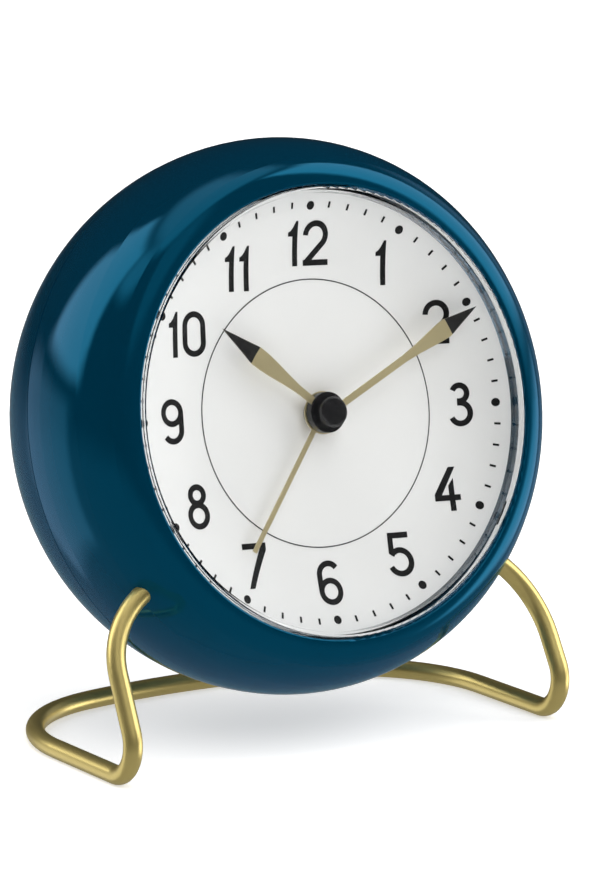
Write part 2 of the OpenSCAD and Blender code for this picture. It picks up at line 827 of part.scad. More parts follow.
module numeral_3() {
    stroke(concat(arc_path([three_lower_r, numeral_h - three_upper_r], three_upper_r - numeral_stroke / 2,
        157, -90), [[three_lower_r - numeral_stroke / 2, numeral_h - 2 * three_upper_r + numeral_stroke / 2]]));
    stroke(concat([[three_lower_r - numeral_stroke / 2, 2 * three_lower_r - numeral_stroke / 2]],
        arc_path([three_lower_r, three_lower_r], three_lower_r - numeral_stroke / 2, 90, -156)));
}

module numeral_4() {
    bar_y = four_bar_share * numeral_h;
    stem_right = four_stem_share * four_w;
    stem_left = stem_right - numeral_stroke;
    slant_foot = [0, four_slant_share * numeral_h];
    slant_top = [four_top_share * four_w, numeral_h];
    slant_w = numeral_stroke * 1.25;
    stem_top = four_stem_top_share * numeral_h;
    polygon([slant_foot, slant_top - [slant_w, 0], slant_top, [numeral_stroke * 1.35, bar_y + numeral_stroke],
        [four_w, bar_y + numeral_stroke], [four_w, bar_y], [0, bar_y]]);
    polygon([[stem_left, 0], [stem_right, 0], [stem_right, stem_top],
        [stem_left, stem_top - numeral_stroke * 1.3]]);
}

module numeral_5() {
    mid_r = five_bowl_r - numeral_stroke / 2;
    bowl = [five_bowl_r, five_bowl_r];
    stem_x = numeral_stroke * 0.5;
    neck = [stem_x + numeral_stroke / 2, five_neck_share * numeral_h];
    bowl_start = bowl + five_bowl_r * [cos(five_turn), sin(five_turn)];
    bowl_start_in = bowl + (five_bowl_r - numeral_stroke) * [cos(five_turn), sin(five_turn)];
    stroke(arc_path(bowl, mid_r, five_turn, -157));
    polygon([[stem_x, numeral_h], [five_bowl_r * 1.78, numeral_h],
        [five_bowl_r * 1.78, numeral_h - numeral_stroke], [stem_x + numeral_stroke, numeral_h - numeral_stroke],
        [stem_x + numeral_stroke, five_neck_share * numeral_h + numeral_stroke * 0.4],
        bowl_start + numeral_stroke * [0.3, 0.07], bowl_start_in + numeral_stroke * [0.3, 0.07],
        bowl_start_in, [stem_x + numeral_stroke * 0.9, neck[1] - numeral_stroke * 0.75], [stem_x, neck[1] - numeral_stroke * 0.15]]);
}

module numeral_6() {
    translate([2 * nine_bowl_r, numeral_h])
    rotate(180)
    numeral_9();
}

module numeral_7() {
    bar_x = seven_w - numeral_stroke;
    polygon([[0, numeral_h], [seven_w, numeral_h], [seven_w, seven_shoulder_share * numeral_h],
        [numeral_stroke * 1.45, 0], [numeral_stroke * 0.35, 0], [bar_x - numeral_stroke * 0.25, numeral_h - numeral_stroke],
        [0, numeral_h - numeral_stroke]]);
}

module numeral_8() {
    for (form = [[three_lower_r, three_lower_r], [numeral_h - three_upper_r, three_upper_r]])
    translate([three_lower_r, form[0]])
    difference() {
        circle(r = form[1]);
        circle(r = form[1] - numeral_stroke);
    }
}

module numeral_9() {
    mid_r = nine_bowl_r - numeral_stroke / 2;
    upper = [nine_bowl_r, numeral_h - nine_bowl_r];
    lower = [nine_bowl_r, nine_bowl_r];
    difference() {
        union() {
            translate(upper)
            circle(r = nine_bowl_r - numeral_stroke * 0.02);
            stroke(concat(arc_path(upper, mid_r, 60, 0), arc_path(lower, mid_r, 0, -145)));
        }
        translate(upper)
        circle(r = nine_bowl_r - numeral_stroke);
    }
}

module numeral(value) {
    if (value == 0) numeral_0();
    if (value == 1) numeral_1();
    if (value == 2) numeral_2();
    if (value == 3) numeral_3();
    if (value == 4) numeral_4();
    if (value == 5) numeral_5();
    if (value == 6) numeral_6();
    if (value == 7) numeral_7();
    if (value == 8) numeral_8();
    if (value == 9) numeral_9();
}

function numeral_w(value) =
    [2 * zero_r, one_flag_w + numeral_stroke, 2 * two_bowl_r, 2 * three_lower_r, four_w,
        2 * five_bowl_r, 2 * nine_bowl_r, seven_w, 2 * three_lower_r, 2 * nine_bowl_r][value];

// One hour's numerals, centred on the origin
module hour_numerals(word) {
    first_w = numeral_w(word[0]);
    word_w = len(word) == 1 ? first_w : first_w + digit_gap + numeral_w(word[1]);
    translate([-word_w / 2, -numeral_h / 2])
    union() {
        numeral(word[0]);
        if (len(word) > 1)
        translate([first_w + digit_gap, 0])
        numeral(word[1]);
    }
}

module dial_numerals() {
    color("#1c1d1e")
    in_head()
    on_dish()
    for (k = [0 : hours - 1])
    translate(numeral_ring_r * [sin(k * 360 / hours), cos(k * 360 / hours)])
    hour_numerals(numeral_words[k]);
}

module dial_circle() {
    color("#1c1d1e")
    in_head()
    ring(circle_r + circle_w / 2, circle_r - circle_w / 2, dish_z, dish_z + print_t);
}

module minute_marks() {
    color("#1c1d1e")
    in_head()
    on_dish()
    for (k = [0 : minutes - 1])
    if (k % minutes_per_hour != 0)
    rotate(k * 360 / minutes)
    translate([mark_ring_r - mark_l / 2, -mark_w / 2])
    square([mark_l, mark_w]);
}

module hour_dots() {
    color("#1c1d1e")
    in_head()
    on_dish()
    for (k = [0 : hours - 1])
    rotate(k * 360 / hours)
    translate([dot_ring_r, 0])
    circle(r = dot_r, $fn = 32);
}

// A hand's blade along +y: a slim neck that swells to its widest and runs to a point
module hand_blade(length, width, outline_shares) {
    right = [for (p = outline_shares) [p[1] * width / 2, p[0] * length]];
    left = [for (k = [len(right) - 1 : -1 : 0]) [-right[k][0], right[k][1]]];
    polygon(concat([[right[0][0], 0]], right, [[0, length]], left, [[-right[0][0], 0]]));
}

module alarm_hand() {
    color("#d8c996")
    in_head()
    translate([0, 0, alarm_hand_z])
    linear_extrude(hand_t)
    difference() {
        union() {
            circle(r = alarm_hub_r);
            rotate(-alarm_reading)
            translate([-alarm_hand_w / 2, 0])
            square([alarm_hand_w, alarm_hand_l]);
        }
        circle(r = alarm_tube_r);
    }
}

module hour_hub() {
    color("#141516")
    in_head()
    difference() {
        ring(hour_hub_r, hour_tube_r, hour_hub_z, hour_hub_top_z);
        rod_at(axis_p, hour_boss_r + fit, hour_hand_z, hour_hand_z + hand_t + seat);
        rotate(-hour_reading)
        block([-hour_slot_w / 2, 0, hour_hand_z], [hour_slot_w / 2, hour_hub_r + over, hour_hand_z + hand_t + seat]);
    }
}

module hour_hand() {
    color("#d8c996")
    in_head()
    translate([0, 0, hour_hand_z])
    linear_extrude(hand_t)
    difference() {
        union() {
            circle(r = hour_boss_r);
            rotate(-hour_reading)
            hand_blade(hour_hand_l, hour_hand_w, hour_outline_shares);
        }
        circle(r = hour_tube_r);
    }
}

module minute_hand_form() {
    translate([0, 0, minute_hand_z])
    linear_extrude(hand_t)
    union() {
        circle(r = minute_boss_r);
        rotate(-minute_reading)
        hand_blade(minute_hand_l, minute_hand_w, minute_outline_shares);
    }
}

module minute_hand() {
    color("#d8c996")
    in_head()
    difference() {
        minute_hand_form();
        rod_at(axis_p, arbor_r, minute_hand_z - over, minute_hand_z + hand_t + over);
    }
}

module hand_cap() {
    color("#141516")
    in_head()
    difference() {
        rotate_extrude()
        union() {
            translate([0, cap_z])
            square([cap_r, cap_h - cap_edge_r]);
            translate([0, cap_z])
            square([cap_r - cap_edge_r, cap_h]);
            edge_quarter([cap_r - cap_edge_r, cap_z + cap_h - cap_edge_r], cap_edge_r, 0);
        }
        minute_hand_form();
        rod_at(axis_p, arbor_r, cap_z - over, minute_hand_z + 2 * hand_t);
    }
}

module washer() {
    color("silver")
    in_head()
    ring(washer_r, bush_r + fit, washer_z, washer_z + washer_t);
}

module fixing_nut() {
    color("#c9a94f")
    in_head()
    difference() {
        translate([0, 0, washer_z + washer_t])
        cylinder(r = nut_flats / 2 / cos(30), h = nut_t, $fn = 6);
        rod_at(axis_p, bush_r + bite, washer_z, washer_z + washer_t + nut_t + over);
    }
}

module centre_bush() {
    color("#c9a94f")
    in_head()
    difference() {
        union() {
            rod_at(axis_p, bush_r, plate_z - bush_flange_t, washer_z + washer_t + nut_t + 2 * seat);
            rod_at(axis_p, bush_flange_r, plate_z - bush_flange_t, plate_z);
        }
        rod_at(axis_p, bush_bore_r, plate_z - bush_flange_t - over, washer_z + washer_t + nut_t + over);
    }
}

module movement_plate() {
    color("#e6e4dc")
    in_head()
    difference() {
        block([-housing_w / 2, -housing_w / 2, plate_z], [housing_w / 2, housing_w / 2, carrier_back_z]);
        rod_at(axis_p, bush_r + fit, plate_z - over, carrier_back_z + over);
        for (place = [minute_wheel_p, third_p, fourth_p, rotor_p, time_set_p, alarm_set_p])
        rod_at(place, pivot_r + fit, plate_z - over, carrier_back_z + over);
        for (x = [-1, 1], y = [-1, 1])
        rod_at(corner_post_at * [x, y], movement_screw_r + seat, plate_z - over, carrier_back_z + over);
    }
}

module movement_cover() {
    inner = housing_w / 2 - housing_wall;
    color("#e6e4dc")
    in_head()
    difference() {
        union() {
            difference() {
                block([-housing_w / 2, -housing_w / 2, cover_back_z], [housing_w / 2, housing_w / 2, plate_z]);
                block([-inner, -inner, cover_inner_z], [inner, inner, plate_z + over]);
            }
            for (x = [-1, 1], y = [-1, 1])
            rod_at(corner_post_at * [x, y], corner_post_r, cover_back_z, plate_z);
            for (place = [axis_p, minute_wheel_p, third_p, fourth_p, rotor_p])
            rod_at(place, pivot_boss_r, cover_inner_z - housing_wall / 2, pivot_back_z);
            for (place = [[chip_p[0], board_y + corner_post_r], [quartz_p[0], board_y + corner_post_r]])
            rod_at(place, pivot_boss_r, cover_inner_z - housing_wall / 2, board_z);
        }
        for (x = [-1, 1], y = [-1, 1])
        rod_at(corner_post_at * [x, y], movement_screw_r + seat, cover_back_z - over, plate_z + over);
        for (place = [axis_p, minute_wheel_p, third_p, fourth_p, rotor_p])
        rod_at(place, pivot_r + fit, cover_inner_z, pivot_back_z + over);
        for (place = [time_set_p, alarm_set_p])
        rod_at(place, shaft_r + fit, cover_back_z - over, cover_inner_z + over);
    }
}

module movement_screws() {
    color("silver")
    in_head()
    for (x = [-1, 1], y = [-1, 1])
    union() {
        rod_at(corner_post_at * [x, y], movement_screw_r, cover_back_z - movement_screw_head_h, carrier_z);
        rod_at(corner_post_at * [x, y], movement_screw_head_r, cover_back_z - movement_screw_head_h, cover_back_z);
    }
}

// A spur gear lying on z = 0, with one tooth centred on its turn
module gear(teeth, tooth_module, thickness, turn) {
    tip_r = pitch_r(teeth, tooth_module) + tip_height_share * tooth_module;
    root_r = pitch_r(teeth, tooth_module) - root_depth_share * tooth_module;
    step = 360 / teeth;
    linear_extrude(thickness)
    rotate(turn)
    polygon([for (k = [0 : teeth - 1], side = [-1, 1], level = side < 0 ? [0, 1] : [1, 0])
        let (a = k * step + side * step / 2 * (level == 0 ? root_width_share : tip_width_share))
        (level == 0 ? root_r : tip_r) * [cos(a), sin(a)]]);
}

module gear_at(place, teeth, tooth_module, z_low, thickness, turn) {
    translate([place[0], place[1], z_low])
    gear(teeth, tooth_module, thickness, turn);
}

// An arbor that turns between the plate and the cover, with a pivot at each end
module arbor_at(place) {
    rod_at(place, pinion_arbor_r, pivot_back_z + end_play, plate_z - end_play);
    rod_at(place, pivot_r, pivot_back_z + end_play - pivot_l, plate_z - end_play + pivot_l);
}

module minute_arbor() {
    color("silver")
    in_head()
    union() {
        rod_at(axis_p, arbor_r, pivot_back_z + end_play, minute_hand_z + 2 * hand_t);
        rod_at(axis_p, pivot_r, pivot_back_z + end_play - pivot_l, pivot_back_z + end_play);
    }
}

// Centre wheel with the pinion that drives the motion work, both on the minute arbor
module centre_wheel() {
    color("#f0ede2")
    in_head()
    difference() {
        union() {
            gear_at(axis_p, centre_wheel_teeth, train_module, centre_wheel_z, wheel_t, 0);
            gear_at(axis_p, centre_pinion_teeth, motion_module, centre_wheel_z + wheel_t,
                hour_wheel_z - end_play - centre_wheel_z - wheel_t, 0);
        }
        rod_at(axis_p, arbor_r, centre_wheel_z - over, hour_wheel_z);
    }
}

module minute_wheel() {
    color("#f0ede2")
    in_head()
    union() {
        arbor_at(minute_wheel_p);
        gear_at(minute_wheel_p, minute_wheel_teeth, motion_module, minute_wheel_z, wheel_t, minute_wheel_turn);
        gear_at(minute_wheel_p, hour_pinion_teeth, hour_module, minute_wheel_z + wheel_t, pinion_t, hour_pinion_turn);
    }
}

module hour_wheel() {
    color("#f0ede2")
    in_head()
    difference() {
        union() {
            gear_at(axis_p, hour_wheel_teeth, hour_module, hour_wheel_z, wheel_t, hour_wheel_turn);
            rod_at(axis_p, hour_tube_r, hour_wheel_z, hour_hand_z + hand_t);
        }
        rod_at(axis_p, hour_tube_bore_r, hour_wheel_z - over, hour_hand_z + over);
    }
}

module alarm_wheel() {
    color("#f0ede2")
    in_head()
    difference() {
        union() {
            gear_at(axis_p, alarm_wheel_teeth, alarm_module, alarm_wheel_z, wheel_t, 0);
            rod_at(axis_p, alarm_tube_r, alarm_wheel_z, alarm_hand_z + hand_t);
        }
        rod_at(axis_p, alarm_tube_bore_r, alarm_wheel_z - over, alarm_hand_z + over);
    }
}

module third_wheel() {
    color("#f0ede2")
    in_head()
    union() {
        arbor_at(third_p);
        gear_at(third_p, third_pinion_teeth, train_module, centre_wheel_z - end_play / 2, pinion_t, third_pinion_turn);
        gear_at(third_p, third_wheel_teeth, third_module, third_wheel_z, wheel_t, 0);
    }
}

module fourth_wheel() {
    color("#f0ede2")
    in_head()
    union() {
        arbor_at(fourth_p);
        gear_at(fourth_p, fourth_pinion_teeth, third_module, third_wheel_z - end_play / 2, pinion_t,
            fourth_pinion_turn);
        gear_at(fourth_p, fourth_wheel_teeth, fourth_module, fourth_wheel_z, wheel_t, 0);
    }
}

// Magnet rotor of the stepping motor, with its smooth drive boss beside the fourth wheel
module rotor() {
    color("#4a4d50")
    in_head()
    union() {
        arbor_at(rotor_p);
        rod_at(rotor_p, rotor_magnet_r, rotor_magnet_z, rotor_magnet_z + rotor_magnet_h);
        rod_at(rotor_p, rotor_pinion_r, fourth_wheel_z - end_play, fourth_wheel_z + pinion_t);
    }
}

module stator() {
    leg_top = stator_z + stator_t + coil_rise;
    color("#9a9ca0")
    in_head()
    difference() {
        union() {
            block([stator_from[0], stator_from[1], stator_z],
                [stator_from[0] + stator_l, stator_from[1] + stator_w, stator_z + stator_t]);
            for (x = [stator_from[0], stator_from[0] + coil_leg_l + coil_l])
            block([x, stator_from[1], stator_z], [x + coil_leg_l, stator_from[1] + coil_leg_l, leg_top]);
            translate([stator_from[0] + coil_leg_l / 2, coil_y, leg_top - coil_bore_r - seat])
            rotate([0, 90, 0])
            cylinder(r = coil_bore_r - fit, h = coil_l + coil_leg_l);
        }
        rod_at(rotor_p, rotor_magnet_r + 4 * seat, stator_z - over, stator_z + over + stator_t);
    }
}

module coil() {
    color("#b5652b")
    in_head()
    translate([stator_from[0] + coil_leg_l, coil_y, stator_z + stator_t + coil_rise - coil_bore_r - seat])
    rotate([0, 90, 0])
    ring(coil_r - 2 * seat, coil_bore_r, 0, coil_l);
}

module circuit_board() {
    color("#2c6b45")
    in_head()
    difference() {
        block([-board_l / 2, board_y, board_z], [board_l / 2, board_y + board_w, board_z + board_t]);
        for (place = [time_set_p, alarm_set_p])
        rod_at(place, board_hole_r, board_z - over, board_z + board_t + over);
        for (x = [-1, 1])
        rod_at(corner_post_at * [x, 1], corner_post_r + 2 * seat, board_z - over, board_z + board_t + over);
    }
}

module driver_chip() {
    color("#1c1d1e")
    in_head()
    rod_at(chip_p, chip_r, board_z + board_t, board_z + board_t + chip_t);
}

module quartz_can() {
    color("silver")
    in_head()
    translate([quartz_p[0] - quartz_l / 2, quartz_p[1], board_z + board_t + quartz_r])
    rotate([0, 90, 0])
    cylinder(r = quartz_r, h = quartz_l);
}

// Small push switch behind the carrier's flange, under the lens plunger
module snooze_switch() {
    flange_back_z = flange_z - flange_t;
    top_z = flange_back_z - switch_drop;
    color("#1c1d1e")
    in_head()
    translate([0, snooze_r, 0])
    union() {
        block([-switch_w / 2, -switch_depth / 2, top_z - switch_h], [switch_w / 2, switch_depth / 2, top_z]);
        rod_at(axis_p, switch_button_r, top_z, top_z + switch_button_h);
        for (side = [0, 1])
        mirror([side, 0, 0])
        block([switch_w / 2 - switch_button_h, -switch_depth / 2, top_z],
            [switch_w / 2, switch_depth / 2, flange_back_z]);
    }
}

module alarm_buzzer() {
    color("#1c1d1e")
    in_head()
    rod_at(buzzer_p, buzzer_r, floor_inner_z, floor_inner_z + buzzer_t);
}

// A setting shaft from the plate's pivot to the recess, with its gear in the movement
module set_shaft(place, teeth, tooth_module, gear_z, turn) {
    rod_at(place, pivot_r, plate_z - end_play, plate_z - end_play + pivot_l);
    rod_at(place, shaft_r, back_z + knob_sink + knob_h / 4, plate_z - end_play);
    gear_at(place, teeth, tooth_module, gear_z, wheel_t, turn);
}

// A round knob with a ring of finger grooves, pushed on its shaft
module set_knob(place) {
    translate([place[0], place[1], back_z + knob_sink])
    difference() {
        cylinder(r = knob_r, h = knob_h);
        for (k = [0 : knurl_count - 1])
        rotate(k * 360 / knurl_count)
        translate([knob_r + knurl_r / 4, 0, -over])
        cylinder(r = knurl_r, h = knob_h + 2 * over, $fn = 24);
        translate([0, 0, knob_h / 4])
        cylinder(r = shaft_r, h = knob_h + over);
    }
}

module time_set_gear() {
    color("#f0ede2")
    in_head()
    set_shaft(time_set_p, time_set_teeth, motion_module, minute_wheel_z, time_set_turn);
}

module time_set_knob() {
    color("#141516")
    in_head()
    set_knob(time_set_p);
}

module alarm_set_gear() {
    color("#f0ede2")
    in_head()
    set_shaft(alarm_set_p, alarm_set_teeth, alarm_module, alarm_wheel_z, alarm_set_turn);
}

module alarm_set_knob() {
    color("#141516")
    in_head()
    set_knob(alarm_set_p);
}

module alarm_switch_body() {
    mid_x = slider_p[0] + slider_travel / 2;
    color("#1c1d1e")
    in_head()
    difference() {
        block([mid_x - switch_body_l / 2, slider_p[1] - switch_body_w / 2, floor_inner_z],
            [mid_x + switch_body_l / 2, slider_p[1] + switch_body_w / 2, floor_inner_z + switch_body_t]);
        slider_slot(slider_gap);
    }
}

module alarm_slider() {
    color("#141516")
    in_head()
    union() {
        block([slider_p[0] - slider_w / 2, slider_p[1] - slider_h / 2, floor_z - slider_gap - slider_t],
            [slider_p[0] + slider_w / 2, slider_p[1] + slider_h / 2, floor_z - slider_gap]);
        block([slider_p[0] - slider_stem_w / 2, slider_p[1] - slider_stem_w / 2, floor_z - slider_gap],
            [slider_p[0] + slider_stem_w / 2, slider_p[1] + slider_stem_w / 2, floor_inner_z + switch_body_t / 2]);
    }
}

module battery() {
    color("#3f4347")
    in_head()
    translate([-battery_l / 2, battery_y, battery_axis_z])
    rotate([0, 90, 0])
    union() {
        cylinder(r = battery_r, h = battery_l - battery_tip_l);
        cylinder(r = battery_tip_r, h = battery_l);
    }
}

module battery_door() {
    color("#0b4a66")
    in_head()
    difference() {
        block([-door_l / 2, battery_y - door_w / 2, floor_z], [door_l / 2, battery_y + door_w / 2, floor_z + door_t]);
        block([-latch_w / 2, battery_y + door_w / 2 - latch_l, floor_z - over],
            [latch_w / 2, battery_y + door_w / 2 + over, floor_z + latch_depth]);
    }
}

// Flat contact that the battery's button end touches
module battery_plate() {
    color("silver")
    in_head()
    block([battery_l / 2, battery_y - contact_w / 2, battery_axis_z - contact_w / 2],
        [battery_l / 2 + contact_t, battery_y + contact_w / 2, bay_top_z - seat]);
}

// Bowed leaf that pushes on the battery's flat end
module battery_leaf() {
    back_x = -battery_l / 2 - leaf_bow;
    color("silver")
    in_head()
    union() {
        block([back_x - contact_t, battery_y - contact_w / 2, battery_axis_z - contact_w / 2],
            [back_x, battery_y + contact_w / 2, bay_top_z - seat]);
        for (z = [battery_axis_z - contact_w / 2, battery_axis_z])
        block([back_x, battery_y - contact_w / 2, z], [-battery_l / 2, battery_y + contact_w / 2, z + contact_t]);
        block([-battery_l / 2 - contact_t, battery_y - contact_w / 2, battery_axis_z - contact_w / 2],
            [-battery_l / 2, battery_y + contact_w / 2, battery_axis_z + contact_t]);
    }
}

// Two stiff leads from the contacts straight up to the movement's back
module battery_leads() {
    color("#b03a2e")
    in_head()
    for (x = [battery_l / 2 - lead_in, -battery_l / 2 + lead_in])
    rod_at([x, battery_y], lead_r, bay_top_z + bay_wall, cover_back_z);
}

module carrier_screws() {
    color("silver")
    in_head()
    for (a = ear_angles)
    rotate(a)
    union() {
        rod_at([ear_ring_r, 0], carrier_screw_head_r, flange_z - flange_t - carrier_screw_head_h,
            flange_z - flange_t);
        rod_at([ear_ring_r, 0], carrier_screw_r, flange_z - flange_t, flange_z + carrier_screw_bite);
    }
}

module stand_screws() {
    color("silver")
    in_head()
    for (side = [0, 1])
    mirror([side, 0, 0])
    rotate(-rod_drop)
    rod_at([(rod_start_r + socket_r) / 2, 0], stand_screw_r, socket_back_z, rod_z - rod_r);
}

// Places children with their x, y and z axes along three given directions
module on_axes(origin, x_d, y_d, z_d) {
    multmatrix([[x_d[0], y_d[0], z_d[0], origin[0]], [x_d[1], y_d[1], z_d[1], origin[1]],
        [x_d[2], y_d[2], z_d[2], origin[2]], [0, 0, 0, 1]])
    children();
}

// A straight length of rod between two points, run a hair into the bends at its ends
module rod_run(start, end) {
    along = unit(end - start);
    aside = unit(cross(along, abs(along[0]) < 0.5 ? [1, 0, 0] : [0, 0, 1]));
    on_axes(start - bend_lap * along, aside, cross(along, aside), along)
    cylinder(r = rod_r, h = norm(end - start) + 2 * bend_lap);
}

// A bend of the rod at a corner, from the heading a to the heading b
module rod_bend(corner, a, b, radius) {
    turn = turn_between(a, b);
    start = corner - radius * tan(turn / 2) * a;
    aside = unit(b - (a * b) * a);
    on_axes(start + radius * aside, -aside, a, cross(-aside, a))
    rotate_extrude(angle = turn)
    translate([radius, 0])
    circle(r = rod_r - bend_thinning);
}

// One side of the bent rod, with y from the dial centre: side is 1 on the viewer's right
module stand_half(side) {
    knee_p = rod_point(side, knee_r);
    rod_run(rod_point(side, rod_start_r), knee_p - knee_setback(side) * radial_d(side));
    rod_bend(knee_p, radial_d(side), upright_d(side), knee_bend_r);
    rod_run(knee_p + knee_setback(side) * upright_d(side), foot_p(side) - foot_setback(side) * upright_d(side));
    rod_bend(foot_p(side), upright_d(side), rearward_d, foot_bend_r);
    rod_run(foot_p(side) + foot_setback(side) * rearward_d, [foot_p(side)[0], corner_y, rod_h]);
    translate([-side_shift, 0, rod_h])
    mirror([side < 0 ? 1 : 0, 0, 0])
    translate([corner_x, corner_y, 0])
    rotate_extrude(angle = corner_turn)
    translate([corner_bend_r, 0])
    circle(r = rod_r - bend_thinning);
}

module stand() {
    color("#c3ab5c")
    translate([head_x, head_y, 0])
    difference() {
        union() {
            stand_half(1);
            stand_half(-1);
            translate([-side_shift, curve_centre_y, rod_h])
            rotate(corner_turn - rear_lap)
            rotate_extrude(angle = 180 - 2 * corner_turn + 2 * rear_lap)
            translate([rear_curve_r, 0])
            circle(r = rod_r);
        }
        block([-2 * stand_x, -2 * foot_ahead, -over - rod_r], [2 * stand_x, 2 * loop_back, 0]);
    }
}

front_shell();
rear_shell();
lens();
lens_spring();
carrier();
dial_plate();
dial_numerals();
dial_circle();
minute_marks();
hour_dots();
alarm_hand();
hour_hub();
hour_hand();
minute_hand();
hand_cap();
washer();
fixing_nut();
centre_bush();
movement_plate();
movement_cover();
movement_screws();
minute_arbor();
centre_wheel();
minute_wheel();
hour_wheel();
alarm_wheel();
third_wheel();
fourth_wheel();
rotor();
stator();
coil();
circuit_board();
driver_chip();
quartz_can();
snooze_switch();
alarm_buzzer();
time_set_gear();
time_set_knob();
alarm_set_gear();
alarm_set_knob();
alarm_switch_body();
alarm_slider();
battery();
battery_door();
battery_plate();
battery_leaf();
battery_leads();
carrier_screws();
stand_screws();
stand();
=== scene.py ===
"""Looks of the round table alarm clock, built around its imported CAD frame.

The frame gives every solid piece. This script paints each one with its own
procedural finish, softens the edges of the small ones, and sets a pale studio
round the clock, seen from the photograph's angle.
"""

import json
import logging
import math
from dataclasses import dataclass, field
from enum import Enum

import bpy
from mathutils import Matrix, Vector

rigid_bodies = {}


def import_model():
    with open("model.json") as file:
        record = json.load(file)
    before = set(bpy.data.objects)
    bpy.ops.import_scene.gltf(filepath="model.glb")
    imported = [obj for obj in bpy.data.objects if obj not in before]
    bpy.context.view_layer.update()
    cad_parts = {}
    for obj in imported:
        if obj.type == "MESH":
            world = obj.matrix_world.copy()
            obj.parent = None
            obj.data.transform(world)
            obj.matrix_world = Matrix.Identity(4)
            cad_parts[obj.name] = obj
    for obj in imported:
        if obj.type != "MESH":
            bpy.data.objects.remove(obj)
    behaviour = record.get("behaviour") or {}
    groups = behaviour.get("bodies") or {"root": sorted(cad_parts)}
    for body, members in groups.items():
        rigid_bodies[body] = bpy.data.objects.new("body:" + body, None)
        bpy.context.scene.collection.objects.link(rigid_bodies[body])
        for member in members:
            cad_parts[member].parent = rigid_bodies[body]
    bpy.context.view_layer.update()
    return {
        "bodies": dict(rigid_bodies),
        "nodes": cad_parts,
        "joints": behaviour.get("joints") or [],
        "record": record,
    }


logging.basicConfig(level=logging.INFO, format="%(levelname)s %(name)s: %(message)s")
LOG = logging.getLogger("table_clock")

MM = 0.001

ACRYLIC_IOR = 1.49
COAT_ROUGHNESS = 0.03
DUST_COLOR = (0.55, 0.53, 0.5)
DUST_ROUGHNESS = 0.5
TIP_BLACK = (0.006, 0.006, 0.0065)
DARKER_TONE = 0.93
GEAR_BRIGHTEST = 0.85
TIP_EDGE = 0.05 * MM
SENSOR_WIDTH = 36.0
CAMERA_NEAR, CAMERA_FAR = 0.01, 20.0
STUDIO_REACH = 4.0
STUDIO_ROUGHNESS = 0.7
STUDIO_GLOSS = 0.1


class Sheen(Enum):
    """How smooth a surface is, as a roughness."""

    POLISHED = 0.04
    GLOSS = 0.1
    SATIN = 0.32
    EGGSHELL = 0.5


class Grain(Enum):
    """The fine relief of a surface, as the name of the shader group that makes it."""

    ORANGE_PEEL = "moulded_skin"
    LACQUER = "sprayed_lacquer"
    BRUSHED = "brushed_lines"
    CAST = "moulded_skin_coarse"


@dataclass(frozen=True)
class Finish:
    """A surface finish that a material is made from.

    Args:
        name: the material's name.
        color: the base colour, linear red, green and blue.
        sheen: how smooth the surface is.
        metallic: 1 for bare metal.
        grain: the kind of fine relief.
        relief: depth of the fine relief in millimetres.
        rub: how much the edges are rubbed light.
        rub_color: the colour that shows where an edge is rubbed.
        dust: how much dust lies on faces that look up.
        smudge: how much handling varies the roughness.
        coat: weight of a clear coat.
        sheen_offset: added to the sheen's roughness.
        gleam: tint of what the surface reflects straight back.
        gloss_level: how strongly it reflects straight back; 0.5 is common plastic.
    """

    name: str
    color: tuple[float, float, float]
    sheen: Sheen = Sheen.SATIN
    metallic: float = 0.0
    grain: Grain = Grain.ORANGE_PEEL
    relief: float = 0.004
    rub: float = 0.15
    rub_color: tuple[float, float, float] = (0.6, 0.6, 0.6)
    dust: float = 0.04
    smudge: float = 0.05
    coat: float = 0.0
    sheen_offset: float = 0.0
    gleam: tuple[float, float, float] = (1.0, 1.0, 1.0)
    gloss_level: float = 0.5


@dataclass(frozen=True)
class HeadFrame:
    """Where the clock's head stands, as the CAD source places it.

    Args:
        origin: the dial's centre, in metres.
        lean: degrees that the head leans back.
        side_lean: degrees that the head leans to the viewer's right.
    """

    origin: tuple[float, float, float]
    lean: float
    side_lean: float

    def matrix(self) -> Matrix:
        """Returns the matrix from the head frame to the row frame."""
        return (Matrix.Translation(self.origin)
                @ Matrix.Rotation(math.radians(self.side_lean), 4, "Y")
                @ Matrix.Rotation(math.radians(90 - self.lean), 4, "X"))

    def point(self, x: float, y: float, z: float) -> Vector:
        """Gives a head-frame point in the row frame.

        Args:
            x: millimetres to the viewer's right.
            y: millimetres up the dial.
            z: millimetres towards the viewer.

        Returns:
            The point in metres.
        """
        return self.matrix() @ Vector((x * MM, y * MM, z * MM))


